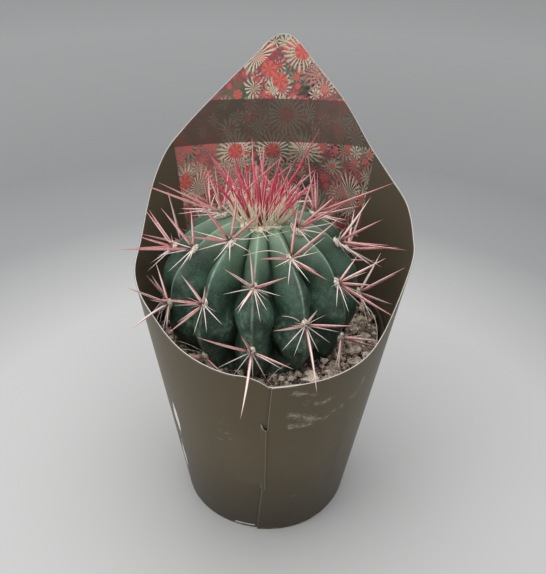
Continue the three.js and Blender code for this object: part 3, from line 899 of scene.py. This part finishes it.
def areole_place(number):
    """The root, normal, direction to the crown and sideways direction of an areole."""
    rib = -SPIRAL_STEP * number % RIBS
    polar = (number + SPIRAL_OFFSET) / RIBS * POLAR_PER_TURN
    azimuth = turn_to_azimuth(rib * RIB_PITCH)
    slant = math.radians(polar)
    crest = stem_point(rib * RIB_PITCH, polar)
    side = around(azimuth + 90, 1, 0)
    normal = around(azimuth, math.sin(slant) / STEM_RADIUS, math.cos(slant) / STEM_HALF_HEIGHT)
    normal.normalize()
    up = side.cross(normal)
    if up.dot(around(azimuth, -math.cos(slant), math.sin(slant))) < 0:
        up.negate()
    return crest + normal, normal, up, side


def bow_of(draw, size):
    return Vector([draw(-size, size) for _ in range(3)])


def add_spine(shape, spine, sides, joints, age, tone, finish=0, neck=1.0):
    """A spine, drawn in at its root to a share of its thickness."""
    root, ahead, bow, reach, radius = spine

    def thick(t):
        drawn_in = neck + (1 - neck) * smoothstep(t, 0, NECK_END)
        return radius * (thickness(t) - 0.035 * t ** 8) * drawn_in

    add_strand(shape, lambda t: root + (ahead + bow * t) * (reach * 0.999 * t),
               thick, sides, joints, age, tone, finish)


def add_bristle(shape, place, clock, tilt, length, radius, sides, age, tone):
    """A fine spine, raised until it clears stem and pot. It may cross the thick spines."""
    root, normal, _, _ = place
    for step in range(5):
        ahead = heading(place, clock, tilt - 9 * step)
        if all(clear_of_pot(root + ahead * (length * t), 0.5) for t in (0.35, 0.6, 0.8, 1)):
            add_spine(shape, (root, ahead, normal * 0.06, length, radius), sides, 3, age, tone)
            return


def felt_faces(vert):
    """Gives the faces round a vertex the second finish of their piece."""
    for face in vert.link_faces:
        face.material_index = 1
        face.smooth = True


def add_pad(shape, place, seed, wool=1.0):
    """Felt as an uneven cushion with short wool standing out of it, more of it when young."""
    root, normal, up, side = place
    wide, tall, deep = PAD_SIZE
    own = random.Random(seed)
    centre = root - normal * 0.5
    ball = bmesh.ops.create_icosphere(shape, subdivisions=3, radius=1)
    for vert in ball["verts"]:
        x, y, z = vert.co * (0.82 + 0.34 * noise.noise(vert.co * 2.6 + root))
        vert.co = centre + side * (x * wide * wool) + up * (y * tall * wool) + normal * (z * deep)
        felt_faces(vert)
    for _ in range(int(PAD_FIBRES * wool ** 3)):
        angle, out = own.uniform(0, math.tau), math.sqrt(own.random())
        spread = (side * (math.cos(angle) * wide) + up * (math.sin(angle) * tall)) * out
        dome = deep * 0.8 * math.sqrt(1.05 - out * out)
        start = centre + spread * (0.85 * wool) + normal * dome
        ahead = (normal * 1.1 + spread * 0.4 + bow_of(own.uniform, 0.5)).normalized()
        spine = start, ahead, bow_of(own.uniform, 0.3), own.uniform(0.8, 1.9) * wool, FELT_RADIUS
        add_spine(shape, spine, 3, 1, 0, own.random(), 1)


draw = make_draw(SPINE_SEED)
areoles = []
for number in range(LAST_AREOLE + 1):
    place = areole_place(number)
    centrals = FRONT_CENTRALS.get(number) or [
        (clock + draw(-9, 9), CENTRAL_TILT + draw(-8, 8), CENTRAL_LENGTH + draw(-4, 4))
        for clock in CENTRAL_CLOCKS]
    spray = []
    for clock, tilt, length, *droop in centrals:
        bow = bow_of(draw, 0.05)
        bow.z -= sum(droop)
        spray.append(place_spine(number, place, clock, tilt, length, CENTRAL_RADIUS, bow))
    areoles.append((place, spray))

spine_finish, spot = new_finish("spine_horn")
along, streak, age, tone = (spot.stored(name) for name in STRAND_VALUES)
flake = spot.grain(1.1, 4, 0.6)
# Flakes and tone are the spines' own colour; the pale stripes from the streak value are painted
# highlight.
pale = flake.rise(0.3, 0.7) * 0.25 + streak.rise(0.25, 0.75) * 0.6 + tone * 0.5
pale = pale * (age * 0.6 + 0.42)
horn = pale.ramp((0.0, SPINE_RED), (0.34, SPINE_PINK), (0.72, SPINE_WHITE))
horn = (along.rise(0.5, 1.0) * (1 - tone) * flake.rise(0.42, 0.5) * 0.6).mix(horn, SPINE_RED)
horn = (along.rise(0.62, 0.15) * (1 - tone) * 0.38).mix(horn, SPINE_RED)
horn = (along.rise(0.17, 0.05) * (1.15 - tone * 0.9)).mix(horn, SPINE_ROOT)
rings = (along * 190).maths("SINE") * 0.5
spot.surface(horn, flake * 0.3 + 0.32, rings + flake, 0.04)
felt_finish, spot = new_finish("areole_felt")
pits = spot.grain(1, 3).rise(0.54, 0.42)
felt = (spot.stored("tone") * 0.5).mix(FELT_CREAM, FELT_WHITE)
spot.surface((pits * 0.55).mix(felt, FELT_DARK), 0.9, spot.grain(0.4, 3), 0.25)

# Crown
# A sunken cushion of cream wool, with the young spines standing in it like a brush: crimson and
# magenta, dark at the root, with fine cream bristles between. The front areole joins its edge.
WOOL_RADIUS = 13.5
WOOL_HEIGHT = 5.4
CROWN_SPINES = 34
CROWN_SPREAD = 1.75
GOLDEN_ANGLE = 137.508
# The tallest ones, as azimuth and radius of the root, azimuth and angle of the lean, length.
TALL_SPINES = [
    (135, 11, 100, 23, 45), (-150, 11, -112, 18, 36), (-140, 8, -140, 12, 34),
    (150, 10, 160, 14, 28),
]
CROWN_SEED = 5150
FRONT_PAD_SEED = 900
FINE_SPINES = 26
FINE_SPINE_RADIUS = 0.34
CROWN_BATCHES = 5
CREAM_BRISTLES = 84
CREAM_RADIUS = 0.28
WOOL_FIBRES = 124
WOOL_FIBRE_RADIUS = 0.11
WOOL_TOP = STEM_CENTRE.z + STEM_HALF_HEIGHT - CROWN_SINK
YOUNG_DARK = (0.14, 0.010, 0.022)
YOUNG_RED = (0.55, 0.020, 0.085)
YOUNG_PINK = (0.88, 0.34, 0.40)
WOOL_CREAM = (0.96, 0.87, 0.68)
WOOL_WHITE = (0.93, 0.87, 0.75)
WOOL_DARK = (0.22, 0.13, 0.06)


def crown_place(azimuth, radius, lean_azimuth):
    root = on_stem(around(azimuth, radius, WOOL_TOP + 1))
    return root, Vector((0, 0, 1)), around(lean_azimuth, 1, 0), around(lean_azimuth + 90, 1, 0)


def stand(azimuth, radius, lean_azimuth, lean, length):
    place = crown_place(azimuth, radius, lean_azimuth)
    bow = around(lean_azimuth + draw(-60, 60), 0.05, 0)
    return place_spine("crown", place, 0, lean, length, CENTRAL_RADIUS, bow)


def seed_head(i):
    """The azimuth and radius of the i-th root of a sunflower spiral."""
    return i * GOLDEN_ANGLE, CROWN_SPREAD * math.sqrt(i + 0.5)


crown_spines = [stand(*tall) for tall in TALL_SPINES]
for i in range(CROWN_SPINES):
    azimuth, radius = seed_head(i)
    lean = 5 + 3 * radius + draw(-6, 6)
    lean_azimuth = azimuth + draw(-40, 40)
    crown_spines.append(stand(azimuth, radius, lean_azimuth, lean, draw(20, 36)))
for number, (place, spray) in enumerate(areoles):
    for clock in RADIAL_CLOCKS:
        spray.append(place_spine(
            number, place, clock + draw(-7, 7), RADIAL_TILT + draw(-6, 6),
            RADIAL_LENGTH + draw(-2.5, 2.5), RADIAL_RADIUS, bow_of(draw, 0.04)))

crown_shape = bmesh.new()
crown_tone = strand_layers(crown_shape)[3]
wool = bmesh.ops.create_uvsphere(crown_shape, u_segments=96, v_segments=40, radius=1)
for vert in wool["verts"]:
    tuft = 1 + 0.22 * noise.noise(vert.co * 3) + 0.10 * noise.noise(vert.co * 9)
    vert[crown_tone] = min(max(0.5 + 2 * (tuft - 1), 0), 1)
    x, y, z = vert.co
    wide = min(tuft, 1.05)
    height = WOOL_TOP + 0.6 + z * WOOL_HEIGHT * tuft
    vert.co = on_stem(Vector((x * WOOL_RADIUS * wide, y * WOOL_RADIUS * wide, height)))
    felt_faces(vert)
chance = random.Random(CROWN_SEED)
add_pad(crown_shape, areoles[0][0], FRONT_PAD_SEED, 1.2)
for spine in filter(None, crown_spines):
    add_spine(crown_shape, spine, 7, 9, chance.uniform(0, 0.5), chance.random(),
              neck=YOUNG_NECK)
for *spine, radius in filter(None, areoles[0][1]):
    central = radius == CENTRAL_RADIUS
    spine.append(radius if central else BRISTLE_RADIUS)
    add_spine(crown_shape, spine, 7, 7, 0.2 if central else 1, chance.random())
for i in range(FINE_SPINES):
    azimuth, radius = seed_head(i + 2)
    place = crown_place(azimuth + 70, min(radius, 11.5), azimuth + chance.uniform(0, 140))
    lean, length = 6 + 3.4 * radius * chance.random(), chance.uniform(14, 30)
    add_bristle(crown_shape, place, 0, lean, length, FINE_SPINE_RADIUS, 5, 0, chance.random())
for _ in range(CROWN_BATCHES):
    tufts = bmesh.new()
    strand_layers(tufts)
    for _ in range(CREAM_BRISTLES):
        azimuth, radius = chance.gauss(0, 80), WOOL_RADIUS * chance.random() ** 0.35
        place = crown_place(azimuth, radius, azimuth + chance.uniform(-60, 60))
        lean, length = 3.6 * radius * chance.random(), chance.uniform(8, 17)
        add_bristle(tufts, place, 0, lean, length, CREAM_RADIUS, 3, 1, chance.random())
    for _ in range(WOOL_FIBRES):
        azimuth, out = chance.uniform(0, 360), math.sqrt(chance.random())
        place = crown_place(azimuth, out * 12.8, azimuth)
        start = place[0] - Vector((0, 0, 0.5 + 2.6 * out * out))
        ahead = place[2] * (0.2 + out * 1.1) + place[1] + bow_of(chance.uniform, 0.6)
        bow, length = bow_of(chance.uniform, 0.4), chance.uniform(2, 5)
        spine = start, ahead.normalized(), bow, length, WOOL_FIBRE_RADIUS
        add_spine(tufts, spine, 3, 2, 1, chance.random(), 1)
    gathered(crown_shape, tufts)

young_finish, spot = new_finish("young_spine_horn")
along, streak, age, tone = (spot.stored(name) for name in STRAND_VALUES)
flake = spot.grain(1.4, 3)
# The pink-white stripes from the streak value are painted highlight; the paler tips are the spines'
# own.
pink = flake.rise(0.45, 0.7) * 0.2 + streak.rise(0.45, 0.85) * (tone * 0.7 + 0.15)
pink = pink + along.rise(0.5, 1.0) * tone * 0.5
crimson = pink.mix(YOUNG_RED, YOUNG_PINK)
crimson = (along.rise(0.45, 0.15) * 0.9).mix(crimson, YOUNG_DARK)
crimson = age.rise(0.7, 0.9).mix(crimson, WOOL_CREAM)
spot.surface(crimson, flake * 0.25 + 0.3)
wool_finish, spot = new_finish("crown_wool")
slit = spot.grain(1.5, 4).rise(0.48, 0.34)
cream = (spot.stored("tone") * 0.5).mix(WOOL_CREAM, WOOL_WHITE)
spot.surface((slit * 0.5).mix(cream, WOOL_DARK), 0.92, spot.grain(0.5, 3), 0.3)
seat("crown_wool_and_spines", crown_shape, [young_finish, wool_finish], "young_spines", "crown_tuft")

for number, (place, spray) in list(enumerate(areoles))[1:]:
    spray_shape = bmesh.new()
    strand_layers(spray_shape)
    own = random.Random(SPRAY_SEED + number)
    age = smoothstep(number, -2, 22)
    add_pad(spray_shape, place, PAD_SEED + number, 1.6 - 0.6 * smoothstep(number, 1, 8))
    for *spine, radius in filter(None, spray):
        if radius == CENTRAL_RADIUS:
            add_spine(spray_shape, (*spine, radius), 7, 9, age, own.uniform(0, 0.55),
                      neck=CENTRAL_NECK)
        else:
            add_spine(spray_shape, (*spine, FINE_RADIUS), 5, 6, 1, own.uniform(0.68, 1))
    for _ in range(BRISTLES):
        add_bristle(spray_shape, place, own.uniform(60, 300), own.uniform(66, 86),
                    own.uniform(6, 11), BRISTLE_RADIUS, 4, 1, own.uniform(0.6, 1))
    for route in HAIRS:
        points = [Vector(point) for point in route]
        if min(areoles, key=lambda areole: (areole[0][0] - points[0]).length)[0] is place:
            add_strand(spray_shape, curve_through(points), lambda t: HAIR_RADIUS * (1.1 - 0.7 * t),
                       5, 14, 1, 0.8)
    seat(f"spine_spray_{number:02}", spray_shape, [spine_finish, felt_finish], "spines",
         f"areole_{number:02}")

# Sleeve
# One sheet of printed and laminated card, wound once round the pot, with its right-hand edge over
# the left in front and a tab of the left one through a slit. Its cut edge is white board, and a
# print of rosettes and round flowers, with a bare band across it, covers the back of the inside.
SLEEVE_FOOT = 0.4
OVERLAP_ANGLE = 14
LIFT_FADE = (20, 60)
# The cut edge of the flap on top, below the tab and above it: azimuth at a height, and slope.
FLAP_LOW = (-4.7, 3.5, 0.083)
FLAP_HIGH = (0.5, 90.5, 0.045)
FLAP_AT_TAB = -1.2
FLAP_STEPS = (39.5, 89)
FLAP_PULL = 18
SLEEVE_COLUMNS = 340
SLEEVE_ROWS = 60
# Rows of the sheet moved to the ends of the tab, so that the flap's edge steps there.
STEP_ROWS = {19: 39.2, 20: 39.8, 44: 88.7, 45: 89.3}
TAB_FROM = -26
TAB_TO = -1.3
TAB_HEIGHTS = (39.9, 88.9)
TAB_SLANT = 1.375
TAB_CUT = -3.2
TAB_GRID = (52, 32)
TAB_EASE = 12
TAB_ROOM = 0.06
TAB_LIFT = FLAP_LIFT + CARD + TAB_ROOM
TIP_LIMIT = 239.4
# A distance at which an edge or a scrape no longer shows.
FAR = 9
OUTER_OLIVE = (0.118, 0.092, 0.051)
OUTER_FOOT_SHADE = (0.055, 0.044, 0.028)
OUTER_SHADE = (0.05, 0.042, 0.028)
INNER_OLIVE = (0.096, 0.080, 0.050)
INNER_DEEP = (0.075, 0.062, 0.042)
LIP_TAN = (0.30, 0.26, 0.20)
EDGE_OLIVE = (0.17, 0.145, 0.105)
BOARD_WHITE = (0.82, 0.81, 0.78)
SCUFF_TAN = (0.40, 0.35, 0.29)
# Scrapes on the outside that lie where they show: reach, then azimuth and height along each.
SCRAPES = [
    (2.4, (11, 116.3), (20, 113.5)), (2.6, (17, 108.5), (22, 106.5), (30, 106)),
    (3.4, (11, 100.3), (21, 95)), (1.8, (20, 94.5), (27, 92.2), (32, 95.8)),
    (2.4, (10, 92), (20, 91)), (1.5, (36, 90.8), (36.7, 96.4), (39, 99.2), (43.2, 98.7)),
    (1.8, (43.2, 98.7), (47, 100.3), (48.4, 103), (48.6, 108)),
]
# Patches of the outside: azimuths from and to, and softness, then the same for heights.
SHADED = (39, 45, 4), (30, 80, 30)
NICKED_LEFT = (-27, -12, 2), (74, 90, 4)
NICKED_RIGHT = (6, 34, 2), (28, 36, 3)
TAB_LIP = (-0.3, 0.1, 0.05), (*TAB_HEIGHTS, 0.2)
FOOT_MARK = (-20.5, -6.5, 0.5), (1.9, 2.7, 0.3)
LIP_WIDTH = 0.25
# The torn white strip: middle, how far it leans, and its foot and top.
STRIP_MIDDLE = -58
STRIP_LEAN = -5
STRIP_HEIGHTS = (18, 83)
# The print: its azimuths in radians, and the heights where it sets in and where it gets as wide
# as the sheet.
PRINT_REACH = (-0.80, 0.82)
PRINT_FOOT = (136.8, 137.6)
PRINT_WIDENS = (195, 196)
# Its rosettes: size of their cells, number of spokes, and share of the cells that stay bare.
ROSETTES = [(10.5, 13, 0.1), (6.5, 9, 0.3), (17.5, 23, 0.35)]
BAND_HEIGHTS = (181.8, 205.6)
BAND_BEND = 9
BAND_LEAN = 1.5
BAND_BROWN = (0.080, 0.060, 0.043)
PRINT_DARK = (0.010, 0.014, 0.012)
PRINT_GREEN = (0.095, 0.15, 0.10)
PRINT_CREAM = (0.92, 0.78, 0.60)
PRINT_FAWN = (0.50, 0.36, 0.27)
PRINT_STRAW = (0.36, 0.30, 0.19)
PRINT_ROSE = (0.56, 0.20, 0.19)
PRINT_CRIMSON = (0.46, 0.050, 0.085)
PRINT_CORAL = (0.78, 0.20, 0.13)


def slanted(line, height):
    """The azimuth of a slanted edge at a height."""
    azimuth, start, slope = line
    return (height - start) * slope + azimuth


def flap_edge(height):
    """The azimuth of the cut edge of the flap on top."""
    low_step, high_step = FLAP_STEPS
    if low_step <= height < high_step:
        return FLAP_AT_TAB
    return slanted(FLAP_LOW if height < low_step else FLAP_HIGH, height)


def card_lift(azimuth):
    return FLAP_LIFT * (1 - smoothstep(azimuth, *LIFT_FADE))


def facing(face):
    """1 where a face looks away from the upright axis, and -1 where it looks at it."""
    out = face.calc_center_median()
    out.z = 0
    return face.normal.dot(out.normalized())


def carded(shape):
    """Gives a sheet its thickness, inwards, and a finish to its outside, inside and cut edge."""
    bmesh.ops.recalc_face_normals(shape, faces=shape.faces)
    if sum(facing(face) for face in shape.faces) < 0:
        bmesh.ops.reverse_faces(shape, faces=shape.faces)
    bmesh.ops.solidify(shape, geom=shape.faces[:], thickness=CARD)
    bmesh.ops.recalc_face_normals(shape, faces=shape.faces)
    within = shape.verts.layers.float.new("within")
    for edge in shape.edges:
        edge.smooth = edge.calc_face_angle(0) < math.radians(40)
    for face in shape.faces:
        looks = facing(face)
        face.material_index = 0 if looks > 0.6 else 1 if looks < -0.6 else 2
        face.smooth = abs(looks) > 0.6
        if looks < -0.6:
            for vert in face.verts:
                vert[within] = 1
    return shape


sheet = bmesh.new()
sheet_below = sheet.verts.layers.float.new("below_edge")
bmesh.ops.create_grid(sheet, x_segments=SLEEVE_COLUMNS, y_segments=SLEEVE_ROWS, size=0.5)
for vert in sheet.verts:
    azimuth = (vert.co.x + 0.5) * (360 + OVERLAP_ANGLE)
    row = round((vert.co.y + 0.5) * SLEEVE_ROWS)
    front = STEP_ROWS.get(row, row * 2)
    top = min(sleeve_top(azimuth), TIP_LIMIT) - (CARD if azimuth > 360 else 0)
    height = SLEEVE_FOOT + (top - SLEEVE_FOOT) * front / (SLEEVE_ROWS * 2)
    vert[sheet_below] = top - height
    pulled = flap_edge(height) * (1 - smoothstep(azimuth, 0, FLAP_PULL))
    vert.co = around(azimuth + pulled, sleeve_radius(height) + card_lift(azimuth), height)
sheet = carded(sheet)
tab = bmesh.new()
tab_below = tab.verts.layers.float.new("below_edge")
bmesh.ops.create_grid(tab, x_segments=TAB_GRID[0], y_segments=TAB_GRID[1], size=0.5)
for vert in tab.verts:
    vert[tab_below] = FAR
    azimuth = TAB_FROM * (0.5 - vert.co.x)
    low, high = TAB_HEIGHTS[0], TAB_HEIGHTS[1] - TAB_SLANT * max(azimuth, TAB_CUT)
    height = low + (high - low) * (vert.co.y + 0.5)
    ends = smoothstep(min(height - low, high - height), 0, TAB_EASE)
    ends += (1 - ends) * smoothstep(azimuth, TAB_CUT, TAB_CUT / 2)
    lift = -TAB_ROOM + (TAB_LIFT + TAB_ROOM) * smoothstep(azimuth, TAB_FROM, TAB_TO) * ends
    vert.co = around(azimuth, sleeve_radius(height) + lift, height)
gathered(sheet, carded(tab))

outer_finish, spot = new_finish("card_outside")
x, y, z = spot.split()
height = z / MM
turn = x.maths("ARCTAN2", -y) * math.degrees(1)


def patch(azimuths, heights):
    return turn.box(*azimuths) * height.box(*heights)


# Painted shade: the outside darkens towards the foot, with some random mottling.
card = (height.rise(75, 0) * 0.9 + spot.grain(30, 3) * 0.2).mix(OUTER_OLIVE, OUTER_FOOT_SHADE)
card = (patch(*SHADED) * 0.4).mix(card, OUTER_SHADE)
smear = (turn * 0.001).paired(z * 3.2).grain(7, 5, 0.65)
jagged = spot.grain(3.5, 4, 0.6).other("Color")
jagged = jagged.vector("MULTIPLY_ADD", (5, 5, 0), (-2.5, -2.5, 0))
on_card = turn.paired(height).vector("ADD", jagged)
nearest = FAR
for reach, *route in SCRAPES:
    for start, end in zip(route, route[1:]):
        run = Vector(end) - Vector(start)
        out = on_card.vector("SUBTRACT", (*start, 0))
        share = out.vector("DOT_PRODUCT", (*(run / run.length_squared), 0), output=1)
        share = share.maths("MAXIMUM", 0).maths("MINIMUM", 1)
        off = out.vector("DISTANCE", share.vector("MULTIPLY", (*run, 0)), output=1)
        nearest = (off / reach).maths("MINIMUM", nearest)
crackle = (turn * 0.001).paired(z * 2.6).grain(5, 6, 0.7)
crackle = abs(crackle - 0.5).rise(0.06, 0.01) + smear.rise(0.54, 0.62) * 0.3
crackle = crackle * nearest.rise(1.0, 0.2) + nearest.rise(0.32, 0.05) * 0.55
scraped = crackle * spot.grain(5, 3).rise(0.36, 0.54)
nicks = smear.rise(0.60, 0.66) * (patch(*NICKED_LEFT) + patch(*NICKED_RIGHT) * 0.6)
worn_edge = spot.stored("below_edge").rise(1.2, 0.1) * spot.grain(4, 4).rise(0.44, 0.60)
worn_edge += height.rise(2.2, 0.6) * spot.grain(3, 3).rise(0.46, 0.62)
rubbed = smear.rise(0.60, 0.72) * spot.grain(45, 2).rise(0.52, 0.66) * abs(turn).rise(50, 70)
marks = scraped * 0.6 + nicks * 0.4 + rubbed * 0.16 + worn_edge * 0.35
card = marks.mix(card, SCUFF_TAN)
low_step, high_step = FLAP_STEPS
low_lip = (turn - slanted(FLAP_LOW, height)).box(0, LIP_WIDTH, 0.05)
high_lip = (turn - slanted(FLAP_HIGH, height)).box(0, LIP_WIDTH, 0.05)
lip = (low_lip * height.rise(low_step + 0.1, low_step - 0.3)
       + high_lip * height.rise(high_step, high_step + 0.5) + patch(*TAB_LIP))
card = (lip * (spot.grain(4, 3) * 0.8 + 0.2)).mix(card, LIP_TAN)
middle = height.rise(60, 35) * STRIP_LEAN + STRIP_MIDDLE
half = height.box(66, 69, 16) * 8 + height.box(32, 35, 16) * 6
ragged = (spot.grain(4, 3) - 0.5) * 2
strip = (half - abs(turn - middle) + ragged).rise(0.0, 0.6) * height.box(*STRIP_HEIGHTS, 1)
card = strip.maths("MAXIMUM", patch(*FOOT_MARK)).mix(card, BOARD_WHITE)
spot.surface(
    card, scraped * 0.2 + spot.grain(2, 3) * 0.12 + 0.36,
    spot.grain(50, 2) + spot.grain(0.7, 2) * 0.02, 0.8,
    {"Specular IOR Level": 0.24, "Coat Weight": 0.06, "Coat Roughness": 0.25})

inner_finish, spot = new_finish("card_inside")
x, y, z = spot.split()
height = z / MM
turn = x.maths("ARCTAN2", y)
sideways = turn * (height * SLEEVE_SLOPE + SLEEVE_BASE_RADIUS)
paper = (sideways * MM).paired(z)


def bursts(base, size, spokes, bare):
    """Rosettes of spokes about the centres of cells, some with a round flower in the middle."""
    cell = paper.node("TexVoronoi", {"Vector": paper, "Scale": 1 / (size * MM)}, "Position",
                      voronoi_dimensions="2D")
    away = paper.vector("SUBTRACT", cell)
    across, up, _ = away.split()
    lot, hue, flower = cell.other("Color").split()
    spoke = up.maths("ARCTAN2", across)
    reach = away.vector("LENGTH", output=1) / (size * MM)
    wave = (spoke * spokes + lot * 9 + paper.grain(size * 0.3, 2) * 5).maths("SINE")
    shown = wave.rise(-0.2, 0.6) * reach.rise(0.85, 0.4) * lot.rise(bare, bare + 0.02)
    base = shown.mix(base, hue.ramp(
        (0.0, PRINT_CREAM), (0.45, PRINT_FAWN), (0.62, PRINT_CRIMSON), (1.0, PRINT_ROSE)))
    ring = reach.rise(0.27, 0.22) * flower.rise(0.70, 0.72)
    petals = (spoke * 6).maths("SINE") * 0.3 + 0.6
    return ring.mix(base, petals.mix(PRINT_CRIMSON, PRINT_CORAL))


flesh = paper.grain(14, 4)
picture = flesh.rise(0.35, 0.65).mix(PRINT_DARK, PRINT_GREEN)
straw = flesh.rise(0.62, 0.40) * (1 - sideways.rise(-35, 30)) * 0.55
picture = straw.mix(picture, PRINT_STRAW)
for rosette in ROSETTES:
    picture = bursts(picture, *rosette)
shade = sideways.box(-10, 30, 12) * height.rise(190, 172)
picture = (shade * 0.62).mix(picture, PRINT_DARK)
shade = sideways.rise(18, 34) * height.rise(196, 182)
picture = (shade * 0.36).mix(picture, PRINT_DARK)
printed = turn.box(*PRINT_REACH, 0.002) * height.rise(*PRINT_FOOT)
inside = (spot.grain(40, 3) * 0.5).mix(INNER_OLIVE, INNER_DEEP)
inside = printed.maths("MAXIMUM", height.rise(*PRINT_WIDENS)).mix(inside, picture)
band = (height - turn * (turn * BAND_BEND + BAND_LEAN)).box(*BAND_HEIGHTS, 0.3)
inside = (band * 0.88).mix(inside, BAND_BROWN)
inside = (spot.stored("below_edge").rise(0.5, 0.2) * 0.75).mix(inside, BOARD_WHITE)
spot.surface(
    inside, spot.grain(3, 3) * 0.15 + 0.36, spot.grain(40, 2), 0.8,
    {"Coat Weight": 0.2, "Coat Roughness": 0.3})
edge_finish, spot = new_finish("card_cut_edge")
core = spot.stored("within").box(0.36, 0.70, 0.08)
core = core * (spot.grain(1.5, 3) * 0.4 + 0.7)
spot.surface(core.mix(EDGE_OLIVE, BOARD_WHITE), 0.85)
seat("sleeve_of_card", sheet, [outer_finish, inner_finish, edge_finish], "sleeve_card", "plant_sleeve")

bpy.context.view_layer.update()
